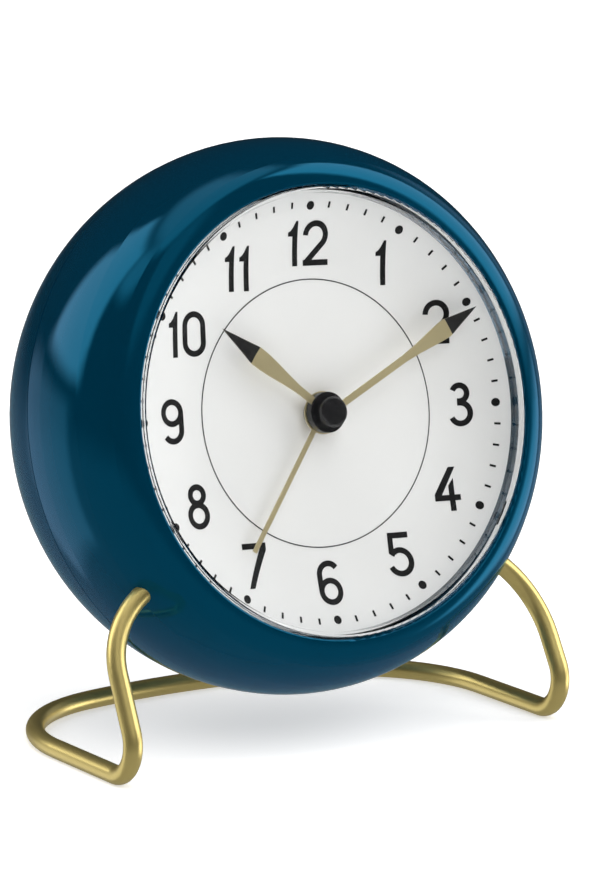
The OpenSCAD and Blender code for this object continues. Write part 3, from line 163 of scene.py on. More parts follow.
class ShaderGroups:
    """Shader node groups that several finishes share, each built once."""

    def __init__(self) -> None:
        """Starts with no group built."""
        self._made: dict[str, bpy.types.NodeTree] = {}

    def get(self, name: str) -> bpy.types.NodeTree:
        """Returns the group of that name, and builds it when it is first asked for.

        Args:
            name: the group's name, which is also its builder's name.
        """
        if name not in self._made:
            self._made[name] = getattr(self, "_" + name)()
            LOG.info("shader group %s built", name)
        return self._made[name]

    @staticmethod
    def _start(name: str, inputs: dict[str, float], output: str) -> tuple:
        """Starts a group whose sockets are all floats.

        Args:
            name: the group's name.
            inputs: its inputs' names and default values.
            output: its one output's name.

        Returns:
            The group's tree, input node and output node.
        """
        tree = bpy.data.node_groups.new(name, "ShaderNodeTree")
        for label, value in inputs.items():
            socket = tree.interface.new_socket(name=label, in_out="INPUT", socket_type="NodeSocketFloat")
            socket.default_value = value
        tree.interface.new_socket(name=output, in_out="OUTPUT", socket_type="NodeSocketFloat")
        return tree, tree.nodes.new("NodeGroupInput"), tree.nodes.new("NodeGroupOutput")

    @staticmethod
    def _noise(tree: bpy.types.NodeTree, scale: object, detail: float, rough: float,
               distortion: float = 0.0, stretch: tuple | None = None) -> bpy.types.NodeSocket:
        """Adds a noise texture in the piece's own coordinates.

        Args:
            tree: the tree to add it to.
            scale: its scale, as a socket or a number.
            detail: how many finer layers it has.
            rough: how strong the finer layers are.
            distortion: how much it is warped.
            stretch: scale of each axis, or None for the same on all.

        Returns:
            The socket of its value.
        """
        coords = tree.nodes.new("ShaderNodeTexCoord")
        noise = tree.nodes.new("ShaderNodeTexNoise")
        noise.inputs["Detail"].default_value = detail
        noise.inputs["Roughness"].default_value = rough
        noise.inputs["Distortion"].default_value = distortion
        source = coords.outputs["Object"]
        if stretch is not None:
            mapping = tree.nodes.new("ShaderNodeMapping")
            mapping.inputs["Scale"].default_value = stretch
            tree.links.new(source, mapping.inputs["Vector"])
            source = mapping.outputs["Vector"]
        tree.links.new(source, noise.inputs["Vector"])
        if isinstance(scale, float):
            noise.inputs["Scale"].default_value = scale
        else:
            tree.links.new(scale, noise.inputs["Scale"])
        return noise.outputs["Fac"]

    @staticmethod
    def math(tree: bpy.types.NodeTree, operation: str, a: object, b: object = None,
             clamp: bool = False) -> bpy.types.NodeSocket:
        """Adds a math node.

        Args:
            tree: the tree to add it to.
            operation: what it works out.
            a: its first operand, a socket or a number.
            b: its second operand, if it has one.
            clamp: whether the result is kept between 0 and 1.

        Returns:
            The socket of its result.
        """
        node = tree.nodes.new("ShaderNodeMath")
        node.operation = operation
        node.use_clamp = clamp
        for index, value in enumerate((a, b)):
            if value is None:
                continue
            if isinstance(value, (int, float)):
                node.inputs[index].default_value = value
            else:
                tree.links.new(value, node.inputs[index])
        return node.outputs[0]

    @staticmethod
    def ramp(tree: bpy.types.NodeTree, value: bpy.types.NodeSocket, low: float,
             high: float) -> bpy.types.NodeSocket:
        """Maps a value smoothly to 0..1.

        Args:
            tree: the tree to add the map to.
            value: the socket to map.
            low: the value that gives 0.
            high: the value that gives 1.

        Returns:
            The socket of the mapped value.
        """
        node = tree.nodes.new("ShaderNodeMapRange")
        node.interpolation_type = "SMOOTHSTEP"
        node.inputs["From Min"].default_value = low
        node.inputs["From Max"].default_value = high
        tree.links.new(value, node.inputs["Value"])
        return node.outputs["Result"]

    def _moulded_skin(self) -> bpy.types.NodeTree:
        """The faint waviness of a gloss moulding."""
        tree, given, out = self._start("moulded_skin", {"Scale": 260.0}, "Height")
        noise = self._noise(tree, given.outputs["Scale"], detail=2.0, rough=0.4)
        tree.links.new(noise, out.inputs["Height"])
        return tree

    def _moulded_skin_coarse(self) -> bpy.types.NodeTree:
        """The fine texture of an unpolished moulding."""
        tree, given, out = self._start("moulded_skin_coarse", {"Scale": 1500.0}, "Height")
        noise = self._noise(tree, given.outputs["Scale"], detail=4.0, rough=0.6)
        tree.links.new(noise, out.inputs["Height"])
        return tree

    def _sprayed_lacquer(self) -> bpy.types.NodeTree:
        """A sprayed surface: fine droplets over a wider unevenness."""
        tree, given, out = self._start("sprayed_lacquer", {"Scale": 3200.0}, "Height")
        fine = self._noise(tree, given.outputs["Scale"], detail=3.0, rough=0.55)
        wide = self._noise(tree, 420.0, detail=2.0, rough=0.5)
        fine_part = self.math(tree, "MULTIPLY", fine, 0.6)
        wide_part = self.math(tree, "MULTIPLY", wide, 0.4)
        tree.links.new(self.math(tree, "ADD", fine_part, wide_part), out.inputs["Height"])
        return tree

    def _brushed_lines(self) -> bpy.types.NodeTree:
        """Fine brushing lines both ways, each broken up along its length."""
        tree, given, out = self._start("brushed_lines", {"Scale": 900.0}, "Height")
        along = self._noise(tree, given.outputs["Scale"], detail=5.0, rough=0.65, distortion=0.2,
                            stretch=(1.0, 1.0, 6.0))
        across = self._noise(tree, given.outputs["Scale"], detail=5.0, rough=0.65, distortion=0.2,
                            stretch=(6.0, 0.6, 1.0))
        along_part = self.math(tree, "MULTIPLY", along, 0.5)
        across_part = self.math(tree, "MULTIPLY", across, 0.5)
        tree.links.new(self.math(tree, "ADD", along_part, across_part), out.inputs["Height"])
        return tree

    def _edge_rub(self) -> bpy.types.NodeTree:
        """A mask that is 1 on convex edges that hands and cloths rub, broken up by noise."""
        tree, given, out = self._start("edge_rub", {"Radius": 0.35 * MM, "Amount": 0.2}, "Mask")
        bevel = tree.nodes.new("ShaderNodeBevel")
        bevel.samples = 4
        tree.links.new(given.outputs["Radius"], bevel.inputs["Radius"])
        geometry = tree.nodes.new("ShaderNodeNewGeometry")
        dot = tree.nodes.new("ShaderNodeVectorMath")
        dot.operation = "DOT_PRODUCT"
        tree.links.new(bevel.outputs["Normal"], dot.inputs[0])
        tree.links.new(geometry.outputs["Normal"], dot.inputs[1])
        edge = self.ramp(tree, self.math(tree, "SUBTRACT", 1.0, dot.outputs["Value"]), 0.02, 0.25)
        noise = self._noise(tree, 240.0, detail=4.0, rough=0.6)
        broken = self.ramp(tree, noise, 0.38, 0.66)
        mask = self.math(tree, "MULTIPLY", edge, broken)
        tree.links.new(self.math(tree, "MULTIPLY", mask, given.outputs["Amount"], True), out.inputs["Mask"])
        return tree

    def _dust_veil(self) -> bpy.types.NodeTree:
        """A mask of thin dust on faces that look up, thicker in patches, with a few specks."""
        tree, given, out = self._start("dust_veil", {"Amount": 0.05}, "Mask")
        geometry = tree.nodes.new("ShaderNodeNewGeometry")
        split = tree.nodes.new("ShaderNodeSeparateXYZ")
        tree.links.new(geometry.outputs["Normal"], split.inputs[0])
        up = self.ramp(tree, split.outputs["Z"], 0.15, 0.95)
        patch = self._noise(tree, 60.0, detail=5.0, rough=0.6)
        speck = self._noise(tree, 2600.0, detail=2.0, rough=0.5)
        specks = self.ramp(tree, speck, 0.68, 0.74)
        patches = self.math(tree, "MULTIPLY", patch, 0.6)
        body = self.math(tree, "ADD", patches, self.math(tree, "MULTIPLY", specks, 1.6))
        mask = self.math(tree, "MULTIPLY", up, body)
        tree.links.new(self.math(tree, "MULTIPLY", mask, given.outputs["Amount"], True), out.inputs["Mask"])
        return tree

    def _hand_smudge(self) -> bpy.types.NodeTree:
        """A slow variation of -1 to 1 that handling leaves in a polished surface."""
        tree, given, out = self._start("hand_smudge", {"Scale": 38.0}, "Value")
        noise = self._noise(tree, given.outputs["Scale"], detail=6.0, rough=0.62, distortion=0.6)
        centred = self.math(tree, "SUBTRACT", noise, 0.5)
        tree.links.new(self.math(tree, "MULTIPLY", centred, 2.0), out.inputs["Value"])
        return tree

    def _tone_drift(self) -> bpy.types.NodeTree:
        """A slow change of tone that keeps a large face from looking flat."""
        tree, given, out = self._start("tone_drift", {"Scale": 22.0}, "Mask")
        noise = self._noise(tree, given.outputs["Scale"], detail=3.0, rough=0.5)
        tree.links.new(self.ramp(tree, noise, 0.3, 0.7), out.inputs["Mask"])
        return tree

    def _soft_panel(self) -> bpy.types.NodeTree:
        """Light from a soft-edged panel, by direction; angles are in radians."""
        tree = bpy.data.node_groups.new("soft_panel", "ShaderNodeTree")
        for label in ("Direction", "Toward", "Aside"):
            tree.interface.new_socket(name=label, in_out="INPUT", socket_type="NodeSocketVector")
        for label in ("Height", "Half Width", "Half Height", "Fade", "Radiance"):
            tree.interface.new_socket(name=label, in_out="INPUT", socket_type="NodeSocketFloat")
        tree.interface.new_socket(name="Light", in_out="OUTPUT", socket_type="NodeSocketFloat")
        given, out = tree.nodes.new("NodeGroupInput"), tree.nodes.new("NodeGroupOutput")
        parts = []
        for label in ("Toward", "Aside"):
            dot = tree.nodes.new("ShaderNodeVectorMath")
            dot.operation = "DOT_PRODUCT"
            tree.links.new(given.outputs["Direction"], dot.inputs[0])
            tree.links.new(given.outputs[label], dot.inputs[1])
            parts.append(dot.outputs["Value"])
        across = self.math(tree, "ABSOLUTE", self.math(tree, "ARCTAN2", parts[1], parts[0]))
        split = tree.nodes.new("ShaderNodeSeparateXYZ")
        tree.links.new(given.outputs["Direction"], split.inputs[0])
        rise = self.math(tree, "ARCSINE", split.outputs["Z"])
        above = self.math(tree, "ABSOLUTE", self.math(tree, "SUBTRACT", rise, given.outputs["Height"]))
        light = given.outputs["Radiance"]
        for value, half in ((across, "Half Width"), (above, "Half Height")):
            inside = self.math(tree, "SUBTRACT", given.outputs[half], value)
            share = self.math(tree, "DIVIDE", inside, given.outputs["Fade"])
            light = self.math(tree, "MULTIPLY", light, self.ramp(tree, share, -1.0, 1.0))
        tree.links.new(light, out.inputs["Light"])
        return tree

    def _radial_mask(self) -> bpy.types.NodeTree:
        """1 beyond a distance from a point, for paint that starts part way along a hand."""
        tree = bpy.data.node_groups.new("radial_mask", "ShaderNodeTree")
        centre = tree.interface.new_socket(name="Centre", in_out="INPUT", socket_type="NodeSocketVector")
        centre.default_value = (0.0, 0.0, 0.0)
        start = tree.interface.new_socket(name="Start", in_out="INPUT", socket_type="NodeSocketFloat")
        start.default_value = 0.03
        tree.interface.new_socket(name="Mask", in_out="OUTPUT", socket_type="NodeSocketFloat")
        given, out = tree.nodes.new("NodeGroupInput"), tree.nodes.new("NodeGroupOutput")
        coords = tree.nodes.new("ShaderNodeTexCoord")
        far = tree.nodes.new("ShaderNodeVectorMath")
        far.operation = "DISTANCE"
        tree.links.new(coords.outputs["Object"], far.inputs[0])
        tree.links.new(given.outputs["Centre"], far.inputs[1])
        over = self.math(tree, "SUBTRACT", far.outputs["Value"], given.outputs["Start"])
        tree.links.new(self.math(tree, "DIVIDE", over, TIP_EDGE, True), out.inputs["Mask"])
        return tree


class MaterialBook:
    """Makes one material for each finish and gives it out again when asked."""

    def __init__(self, groups: ShaderGroups) -> None:
        """Starts with no material made.

        Args:
            groups: the shared shader groups.
        """
        self.groups = groups
        self._made: dict[str, bpy.types.Material] = {}

    def _group(self, tree, name: str, **values: float):
        """Adds a shared group to a tree and sets its inputs."""
        node = tree.nodes.new("ShaderNodeGroup")
        node.node_tree = self.groups.get(name)
        for label, value in values.items():
            node.inputs[label].default_value = value
        return node

    @staticmethod
    def _mix(tree, factor, a, b):
        """Adds a colour mix whose ends are sockets or colours."""
        node = tree.nodes.new("ShaderNodeMix")
        node.data_type = "RGBA"
        tree.links.new(factor, node.inputs["Factor"])
        for label, value in (("A", a), ("B", b)):
            socket = [s for s in node.inputs if s.name == label and s.type == "RGBA"][0]
            if isinstance(value, tuple):
                socket.default_value = (*value, 1.0)
            else:
                tree.links.new(value, socket)
        return [s for s in node.outputs if s.type == "RGBA"][0]

    def solid(self, finish: Finish, tip: tuple | None = None) -> bpy.types.Material:
        """Returns the opaque material of a finish.

        Args:
            finish: the finish to make.
            tip: the hands' axis point and the distance from it where black paint starts.
        """
        key = finish.name
        if key in self._made:
            return self._made[key]
        material = bpy.data.materials.new(key)
        material.use_nodes = True
        tree = material.node_tree
        shader = tree.nodes["Principled BSDF"]
        shader.inputs["Coat Weight"].default_value = finish.coat
        shader.inputs["Coat Roughness"].default_value = COAT_ROUGHNESS
        shader.inputs["Specular Tint"].default_value = (*finish.gleam, 1.0)
        shader.inputs["Specular IOR Level"].default_value = finish.gloss_level
        drift = self._group(tree, "tone_drift")
        dark = tuple(c * DARKER_TONE for c in finish.color)
        color = self._mix(tree, drift.outputs["Mask"], dark, finish.color)
        metallic: object = finish.metallic
        roughness = finish.sheen.value + finish.sheen_offset
        if tip is not None:
            mask = self._group(tree, "radial_mask", Centre=tip[0], Start=tip[1])
            tip_mask = mask.outputs["Mask"]
            color = self._mix(tree, tip_mask, color, TIP_BLACK)
            bare = ShaderGroups.math(tree, "SUBTRACT", 1.0, tip_mask)
            metallic = ShaderGroups.math(tree, "MULTIPLY", bare, finish.metallic)
        rub = self._group(tree, "edge_rub", Amount=finish.rub)
        color = self._mix(tree, rub.outputs["Mask"], color, finish.rub_color)
        dust = self._group(tree, "dust_veil", Amount=finish.dust)
        color = self._mix(tree, dust.outputs["Mask"], color, DUST_COLOR)
        tree.links.new(color, shader.inputs["Base Color"])
        smudge = self._group(tree, "hand_smudge")
        wander = ShaderGroups.math(tree, "MULTIPLY", smudge.outputs["Value"], finish.smudge)
        rough = ShaderGroups.math(tree, "ADD", wander, roughness)
        dulled = ShaderGroups.math(tree, "MULTIPLY", dust.outputs["Mask"], DUST_ROUGHNESS)
        rough = ShaderGroups.math(tree, "ADD", rough, dulled, True)
        tree.links.new(rough, shader.inputs["Roughness"])
        if isinstance(metallic, float):
            shader.inputs["Metallic"].default_value = metallic
        else:
            tree.links.new(metallic, shader.inputs["Metallic"])
        grain = self._group(tree, finish.grain.value)
        bump = tree.nodes.new("ShaderNodeBump")
        bump.inputs["Distance"].default_value = finish.relief * MM
        bump.inputs["Strength"].default_value = 1.0
        tree.links.new(grain.outputs["Height"], bump.inputs["Height"])
        tree.links.new(bump.outputs["Normal"], shader.inputs["Normal"])
        self._made[key] = material
        return material

    def clear(self, name: str, tint: tuple[float, float, float],
              roughness: float = 0.01) -> bpy.types.Material:
        """Returns a clear plastic that lets light through to what lies behind it.

        Args:
            name: the material's name.
            tint: colour of the plastic.
            roughness: roughness of its faces.
        """
        if name in self._made:
            return self._made[name]
        material = bpy.data.materials.new(name)
        material.use_nodes = True
        tree = material.node_tree
        shader = tree.nodes["Principled BSDF"]
        shader.inputs["Base Color"].default_value = (*tint, 1.0)
        shader.inputs["Metallic"].default_value = 0.0
        shader.inputs["Transmission Weight"].default_value = 1.0
        shader.inputs["IOR"].default_value = ACRYLIC_IOR
        smudge = self._group(tree, "hand_smudge", Scale=55.0)
        wander = ShaderGroups.math(tree, "MULTIPLY", smudge.outputs["Value"], 0.012)
        tree.links.new(ShaderGroups.math(tree, "ADD", wander, roughness, True), shader.inputs["Roughness"])
        through = tree.nodes.new("ShaderNodeBsdfTransparent")
        through.inputs["Color"].default_value = (*tint, 1.0)
        path = tree.nodes.new("ShaderNodeLightPath")
        either = ShaderGroups.math(tree, "MAXIMUM", path.outputs["Is Shadow Ray"],
                                   path.outputs["Is Diffuse Ray"])
        blend = tree.nodes.new("ShaderNodeMixShader")
        tree.links.new(either, blend.inputs["Fac"])
        tree.links.new(shader.outputs["BSDF"], blend.inputs[1])
        tree.links.new(through.outputs["BSDF"], blend.inputs[2])
        tree.links.new(blend.outputs["Shader"], tree.nodes["Material Output"].inputs["Surface"])
        self._made[name] = material
        return material


def paint(obj: bpy.types.Object, material: bpy.types.Material) -> None:
    """Gives an object one material in place of those it came with.

    Args:
        obj: the object to paint.
        material: its new material.
    """
    obj.data.materials.clear()
    obj.data.materials.append(material)


def soften(obj: bpy.types.Object, width: float, segments: int = 2, angle: float = 40.0) -> None:
    """Rounds an object's sharp edges with a bevel modifier.

    Args:
        obj: the object to soften.
        width: width of the rounding in millimetres.
        segments: steps in the rounding.
        angle: edges sharper than this many degrees are rounded.
    """
    bevel = obj.modifiers.new("softened_edges", "BEVEL")
    bevel.width = width * MM
    bevel.segments = segments
    bevel.limit_method = "ANGLE"
    bevel.angle_limit = math.radians(angle)
    bevel.harden_normals = False


@dataclass
class SubAssembly:
    """A group of CAD nodes that are finished together.

    Args:
        book: the materials.
        head: where the clock's head stands.
    """

    frame: dict
    book: MaterialBook
    head: HeadFrame

    def node(self, name: str) -> bpy.types.Object:
        """Returns a CAD node's object.

        Args:
            name: the node's name.
        """
        return self.frame["nodes"][name]

    def finish(self, name: str, finish: Finish, edge: float = 0.0, tip: tuple | None = None) -> None:
        """Paints one CAD node and rounds its edges.

        Args:
            name: the node's name.
            finish: its finish.
            edge: width of the edge rounding in millimetres, or 0 for none.
            tip: passed on to the material for a hand with a black tip.
        """
        obj = self.node(name)
        paint(obj, self.book.solid(finish, tip))
        if edge > 0:
            soften(obj, edge)
        LOG.info("%s: finish %s, %d faces", name, finish.name, len(obj.data.polygons))


@dataclass
class CaseShells(SubAssembly):
    """The two moulded shells of the case and the battery door."""

    petrol: tuple[float, float, float] = (0.0, 0.056, 0.112)
    gleam: tuple[float, float, float] = (0.06, 0.6, 0.92)
    rubbed: tuple[float, float, float] = (0.01, 0.08, 0.14)
    door_tone: float = 0.94
    edge: float = 0.12

    def dress(self) -> None:
        """Paints the shells in gloss petrol and the battery door in a slightly darker gloss petrol."""
        gloss = Finish("petrol_gloss", self.petrol, Sheen.POLISHED, metallic=0.5, relief=0.002, rub=0.04,
                       rub_color=self.rubbed, dust=0.004, smudge=0.012, sheen_offset=0.012,
                       gleam=self.gleam, gloss_level=1.0)
        door_color = tuple(c * self.door_tone for c in self.petrol)
        door = Finish("petrol_gloss_door", door_color, Sheen.GLOSS, relief=0.005, rub=0.1,
                      rub_color=self.rubbed, dust=0.008, smudge=0.03, gleam=self.gleam, gloss_level=1.0)
        self.finish("front_shell", gloss)
        self.finish("rear_shell", gloss)
        self.finish("battery_door", door, self.edge)


@dataclass
class LensCover(SubAssembly):
    """The clear lens that is pressed for snooze."""

    tint: tuple[float, float, float] = (0.99, 0.992, 0.99)

    def dress(self) -> None:
        """Paints the lens as clear plastic, and its spring as steel."""
        paint(self.node("lens"), self.book.clear("clear_lens", self.tint))
        LOG.info("lens: clear plastic")
        self.finish("lens_spring", STEEL)


@dataclass
class DialFace(SubAssembly):
    """The dished dial and its prints."""

    white: tuple[float, float, float] = (0.86, 0.86, 0.85)
    ink: tuple[float, float, float] = (0.006, 0.006, 0.0065)
    thin_line: float = 2.5

    def dress(self) -> None:
        """Paints the dial in matt white lacquer and its prints in black ink."""
        lacquer = Finish("dial_lacquer", self.white, Sheen.EGGSHELL, grain=Grain.LACQUER, relief=0.002,
                         rub=0.05, rub_color=self.white, dust=0.0, smudge=0.02)
        ink = Finish("dial_ink", self.ink, Sheen.EGGSHELL, grain=Grain.LACQUER, relief=0.001, rub=0.0,
                     dust=0.0, smudge=0.02, gleam=(0.3, 0.3, 0.3))
        fine_ink = Finish("dial_ink_fine", tuple(c * self.thin_line for c in self.ink), Sheen.EGGSHELL,
                          grain=Grain.LACQUER, relief=0.001, rub=0.0, dust=0.0, smudge=0.02)
        self.finish("dial_plate", lacquer)
        for name in ("dial_numerals", "minute_marks", "hour_dots"):
            self.finish(name, ink)
        self.finish("dial_circle", fine_ink)


@dataclass
class HandSet(SubAssembly):
    """The three hands, their hub and cap, and what holds them."""

    brass: tuple[float, float, float] = (0.72, 0.62, 0.36)
    rubbed: tuple[float, float, float] = (0.75, 0.68, 0.48)
    minute_tip: float = 32.4
    hour_tip: float = 19.5
    minute_z: float = 5.0
    hour_z: float = 3.4
    edge: float = 0.05

    def _hand_finish(self, name: str) -> Finish:
        """Returns the satin brass of a hand.

        Args:
            name: the hand's node name.
        """
        return Finish(name + "_brass", self.brass, Sheen.SATIN, metallic=0.85, grain=Grain.BRUSHED,
                      relief=0.002, rub=0.3, rub_color=self.rubbed, dust=0.0, smudge=0.04)

    def dress(self) -> None:
        """Paints the hands in satin brass with black tips, and the hub and cap in satin black."""
        for name, level, start in (("minute_hand", self.minute_z, self.minute_tip),
                                   ("hour_hand", self.hour_z, self.hour_tip)):
            tip = (self.head.point(0, 0, level), start * MM)
            self.finish(name, self._hand_finish(name), self.edge, tip=tip)
        self.finish("alarm_hand", self._hand_finish("alarm_hand"), self.edge)
        self.finish("hour_hub", SATIN_BLACK, self.edge)
        self.finish("hand_cap", SATIN_BLACK)
        for name in ("washer", "minute_arbor"):
            self.finish(name, STEEL)
        for name in ("fixing_nut", "centre_bush"):
            self.finish(name, TURNED_BRASS)


@dataclass
class RodStand(SubAssembly):
    """The bent rod that the clock stands on."""

    brass: tuple[float, float, float] = (0.83, 0.67, 0.245)

    def dress(self) -> None:
        """Paints the rod in satin brushed brass."""
        finish = Finish("rod_brass", self.brass, Sheen.SATIN, metallic=0.85, grain=Grain.BRUSHED,
                        relief=0.004, rub=0.0, dust=0.01, smudge=0.05)
        self.finish("stand", finish)
        self.finish("stand_screws", STEEL)


@dataclass
class InnerFrame(SubAssembly):
    """The carrier behind the dial, with the snooze switch and screws."""

    grey: tuple[float, float, float] = (0.2, 0.21, 0.22)

    def dress(self) -> None:
        """Paints the carrier in moulded grey."""
        grey = Finish("carrier_grey", self.grey, Sheen.EGGSHELL, grain=Grain.CAST, relief=0.01, dust=0.01)
        self.finish("carrier", grey)
        self.finish("carrier_screws", STEEL)
        self.finish("snooze_switch", INNER_BLACK, 0.1)


@dataclass
class MovementWorks(SubAssembly):
    """The movement: housing, train, motor and circuit."""

    housing: tuple[float, float, float] = (0.62, 0.6, 0.55)
    gear: tuple[float, float, float] = (0.74, 0.7, 0.58)

    def dress(self) -> None:
        """Paints the housing, wheels, motor and circuit board."""
        shell = Finish("movement_housing", self.housing, Sheen.EGGSHELL, grain=Grain.CAST, relief=0.01,
                       dust=0.01)
        for name in ("movement_plate", "movement_cover"):
            self.finish(name, shell, 0.15)
        self.finish("movement_screws", STEEL)
        tones = {"centre_wheel": 1.0, "minute_wheel": 0.93, "hour_wheel": 1.05, "alarm_wheel": 0.88,
                 "third_wheel": 0.97, "fourth_wheel": 1.03, "time_set_gear": 0.9, "alarm_set_gear": 0.9}
        for name, tone in tones.items():
            color = tuple(min(c * tone, GEAR_BRIGHTEST) for c in self.gear)
            self.finish(name, Finish(name + "_acetal", color, Sheen.SATIN, relief=0.003, rub=0.1, dust=0.0))
        inner = (
            ("rotor", Finish("rotor_magnet", (0.05, 0.05, 0.055), Sheen.EGGSHELL, grain=Grain.CAST,
                             relief=0.008)),
            ("stator", Finish("stator_laminate", (0.3, 0.31, 0.33), Sheen.SATIN, metallic=1.0,
                              grain=Grain.BRUSHED, relief=0.006)),
            ("coil", Finish("coil_copper", (0.6, 0.22, 0.07), Sheen.SATIN, metallic=1.0,
                            grain=Grain.BRUSHED, relief=0.02)),
            ("circuit_board", Finish("board_mask", (0.02, 0.15, 0.06), Sheen.SATIN, relief=0.004)),
        )
        for name, finish in inner:
            self.finish(name, finish)
        self.finish("driver_chip", INNER_BLACK)
        self.finish("quartz_can", STEEL)


@dataclass
class RearControls(SubAssembly):
    """What is set and switched at the back."""

    def dress(self) -> None:
        """Paints the knobs, slider, switch and buzzer."""
        knob = Finish("knob_black", (0.012, 0.012, 0.013), Sheen.SATIN, relief=0.006, rub=0.3,
                      rub_color=(0.12, 0.12, 0.12), dust=0.05)
        for name in ("time_set_knob", "alarm_set_knob"):
            self.finish(name, knob, 0.12)
        self.finish("alarm_slider", knob, 0.15)
        self.finish("alarm_switch_body", INNER_BLACK)
        self.finish("alarm_buzzer", INNER_BLACK)


@dataclass
class BatteryBay(SubAssembly):
    """The battery, its contacts and leads."""

    def dress(self) -> None:
        """Paints the battery's sleeve, contacts and leads."""
        sleeve = Finish("battery_sleeve", (0.05, 0.055, 0.06), Sheen.SATIN, metallic=0.4, relief=0.003,
                        rub=0.2)
        self.finish("battery", sleeve)
        for name in ("battery_plate", "battery_leaf"):
            self.finish(name, STEEL)
        self.finish("battery_leads", Finish("lead_red", (0.42, 0.02, 0.015), Sheen.SATIN, relief=0.004))


STEEL = Finish("zinc_steel", (0.56, 0.56, 0.57), Sheen.SATIN, metallic=1.0, grain=Grain.BRUSHED, relief=0.004,
               rub=0.2, rub_color=(0.8, 0.8, 0.8), dust=0.0)
TURNED_BRASS = Finish("turned_brass", (0.6, 0.45, 0.18), Sheen.SATIN, metallic=1.0, grain=Grain.BRUSHED,
                      relief=0.004, rub=0.2, rub_color=(0.8, 0.7, 0.4), dust=0.0)
SATIN_BLACK = Finish("cap_black", (0.008, 0.008, 0.009), Sheen.SATIN, relief=0.002, rub=0.2,
                     rub_color=(0.1, 0.1, 0.1), dust=0.0, smudge=0.04, sheen_offset=-0.08)
INNER_BLACK = Finish("inner_black", (0.014, 0.014, 0.015), Sheen.EGGSHELL, grain=Grain.CAST, relief=0.008,
                     dust=0.0)


@dataclass(frozen=True)
class SoftPanel:
    """A soft-edged light panel on the studio's far wall or ceiling.

    Args:
        name: the panel's name.
        turn: degrees round from the camera, positive to the viewer's right.
        height: degrees above the clock.
        half_width: degrees from its middle to its side.
        half_height: degrees from its middle to its top.
        fade: degrees over which its edge fades out.
        radiance: how bright it is.
        in_gloss: share of its light that shows in sharp reflections.
    """

    name: str
    turn: float
    height: float
    half_width: float
    half_height: float
    fade: float
    radiance: float
    in_gloss: float = 1.0


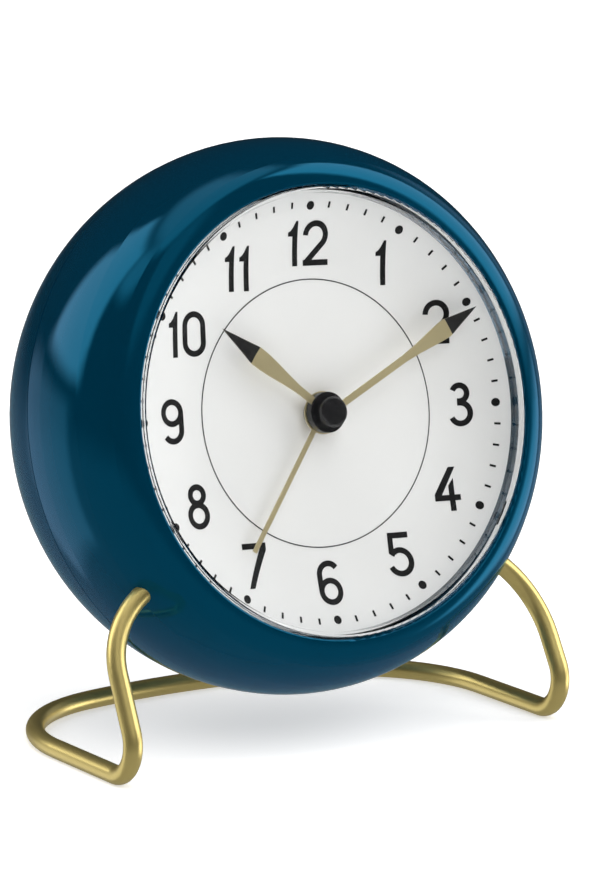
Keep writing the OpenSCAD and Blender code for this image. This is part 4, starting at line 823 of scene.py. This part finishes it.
@dataclass
class Studio:
    """The pale floor, the soft panels round the clock and the camera.

    Args:
        aim: point that the camera looks at, in metres.
        azimuth: camera azimuth in degrees, 0 along +Y.
        elevation: camera elevation in degrees.
        roll: camera roll in degrees.
        distance: metres from the aim to the camera.
        groups: the shared shader groups.
        focal_px: focal length in pixels of the picture's height.
        picture: width and height of the picture in pixels.
        white: how white the floor is.
        floor_glow: light that the floor adds, as the lit table in the photograph does.
        room: radiance of the studio between its panels.
        below: radiance added from under the horizon, as the pale table sends up.
        horizon: how steeply up a ray goes where that light starts, and where it is full.
        panels: the soft panels.
        pieces: the studio's objects, filled as they are made.
    """

    aim: tuple[float, float, float]
    azimuth: float
    elevation: float
    roll: float
    distance: float
    groups: ShaderGroups
    focal_px: float = 4962.0
    picture: tuple[int, int] = (600, 870)
    white: float = 0.88
    floor_glow: float = 0.5
    room: float = 0.02
    below: float = 0.25
    horizon: tuple[float, float] = (0.05, -0.25)
    panels: tuple[SoftPanel, ...] = (
        SoftPanel("ceiling", 0.0, 90.0, 200.0, 24.0, 5.0, 2.5, 0.4),
        SoftPanel("left_wide", -101.0, 36.0, 20.0, 25.0, 4.0, 2.4, 0.85),
        SoftPanel("left_high", -70.0, 55.0, 9.0, 9.0, 5.0, 1.4, 0.8),
        SoftPanel("left_low", -112.0, -16.0, 22.0, 20.0, 4.0, 1.2, 0.5),
        SoftPanel("right_wide", 99.0, 35.0, 23.0, 25.0, 4.0, 2.8, 0.8),
        SoftPanel("right_low", 100.0, -8.0, 20.0, 12.0, 5.0, 2.8, 0.8),
        SoftPanel("right_back", 140.0, 4.0, 12.0, 28.0, 7.0, 0.9, 0.4),
        SoftPanel("front_right", 24.0, 46.0, 22.0, 18.0, 8.0, 3.2, 0.12),
    )
    pieces: list = field(default_factory=list)

    def build(self) -> None:
        """Makes the floor, the studio's light and the camera."""
        self._floor()
        self._world()
        self._camera()
        bpy.context.scene.view_settings.view_transform = "Standard"

    def _back(self) -> Vector:
        """Returns the direction from the aim to the camera."""
        a, e = math.radians(self.azimuth), math.radians(self.elevation)
        return Vector((math.sin(a) * math.cos(e), -math.cos(a) * math.cos(e), math.sin(e)))

    def _floor(self) -> None:
        """One pale sheet that the clock stands on."""
        mesh = bpy.data.meshes.new("studio_floor")
        corners = [(x * STUDIO_REACH, y * STUDIO_REACH, 0.0) for x, y in ((-1, -1), (1, -1), (1, 1), (-1, 1))]
        mesh.from_pydata(corners, [], [(0, 1, 2, 3)])
        floor = bpy.data.objects.new("studio_floor", mesh)
        bpy.context.scene.collection.objects.link(floor)
        floor.visible_glossy = False
        material = bpy.data.materials.new("studio_white")
        material.use_nodes = True
        shader = material.node_tree.nodes["Principled BSDF"]
        shader.inputs["Base Color"].default_value = (self.white, self.white, self.white, 1.0)
        shader.inputs["Roughness"].default_value = STUDIO_ROUGHNESS
        shader.inputs["Specular IOR Level"].default_value = STUDIO_GLOSS
        shader.inputs["Emission Color"].default_value = (1.0, 1.0, 1.0, 1.0)
        shader.inputs["Emission Strength"].default_value = self.floor_glow
        floor.data.materials.append(material)
        self.pieces.append(floor)

    def _world(self) -> None:
        """Paints the soft panels on the studio's walls; the camera itself sees plain white."""
        world = bpy.data.worlds.new("studio_air")
        bpy.context.scene.world = world
        world.use_nodes = True
        tree = world.node_tree
        air = tree.nodes["Background"]
        air.inputs["Color"].default_value = (1.0, 1.0, 1.0, 1.0)
        path = tree.nodes.new("ShaderNodeLightPath")
        coords = tree.nodes.new("ShaderNodeTexCoord")
        split = tree.nodes.new("ShaderNodeSeparateXYZ")
        tree.links.new(coords.outputs["Generated"], split.inputs[0])
        low = ShaderGroups.ramp(tree, split.outputs["Z"], *self.horizon)
        downward = ShaderGroups.math(tree, "MULTIPLY", low, self.below)
        total = ShaderGroups.math(tree, "ADD", downward, self.room)
        for panel in self.panels:
            node = tree.nodes.new("ShaderNodeGroup")
            node.node_tree = self.groups.get("soft_panel")
            turn = math.radians(panel.turn + self.azimuth)
            node.inputs["Toward"].default_value = (math.sin(turn), -math.cos(turn), 0.0)
            node.inputs["Aside"].default_value = (math.cos(turn), math.sin(turn), 0.0)
            for label, value in (("Height", panel.height), ("Half Width", panel.half_width),
                                 ("Half Height", panel.half_height), ("Fade", panel.fade)):
                node.inputs[label].default_value = math.radians(value)
            node.inputs["Radiance"].default_value = panel.radiance
            tree.links.new(coords.outputs["Generated"], node.inputs["Direction"])
            hidden = ShaderGroups.math(tree, "MULTIPLY", path.outputs["Is Glossy Ray"], 1.0 - panel.in_gloss)
            shown = ShaderGroups.math(tree, "SUBTRACT", 1.0, hidden)
            light = ShaderGroups.math(tree, "MULTIPLY", node.outputs["Light"], shown)
            total = ShaderGroups.math(tree, "ADD", total, light)
            LOG.info("panel %s: radiance %.2f", panel.name, panel.radiance)
        strength = ShaderGroups.math(tree, "MAXIMUM", total, path.outputs["Is Camera Ray"])
        tree.links.new(strength, air.inputs["Strength"])

    def _camera(self) -> None:
        """Sets the camera that the photograph was worked out to have."""
        data = bpy.data.cameras.new("camera")
        data.sensor_width = SENSOR_WIDTH
        data.lens = SENSOR_WIDTH * self.focal_px / self.picture[1]
        data.clip_start, data.clip_end = CAMERA_NEAR, CAMERA_FAR
        camera = bpy.data.objects.new("camera", data)
        back = self._back()
        right = (-back).cross(Vector((0, 0, 1))).normalized()
        up = right.cross(-back)
        turn = math.radians(self.roll)
        right, up = (right * math.cos(turn) + up * math.sin(turn),
                     up * math.cos(turn) - right * math.sin(turn))
        spin = Matrix((right, up, back)).transposed().to_4x4()
        camera.matrix_world = Matrix.Translation(Vector(self.aim) + back * self.distance) @ spin
        bpy.context.scene.collection.objects.link(camera)
        bpy.context.scene.camera = camera


def main() -> None:
    """Loads the frame, dresses every sub-assembly, and sets the studio."""
    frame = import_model()
    head = HeadFrame(origin=(0.0001127, -0.0188792, 0.0645), lean=11.5, side_lean=2.7)
    groups = ShaderGroups()
    book = MaterialBook(groups)
    for kind in (CaseShells, LensCover, DialFace, HandSet, RodStand, InnerFrame, MovementWorks, RearControls,
                 BatteryBay):
        kind(frame, book, head).dress()
        LOG.info("%s dressed", kind.__name__)
    Studio(aim=(-0.003688, -0.0188792, 0.060542), azimuth=-32.107, elevation=10.931, roll=0.05,
           distance=0.96757, groups=groups).build()


if __name__ == "__main__":
    main()
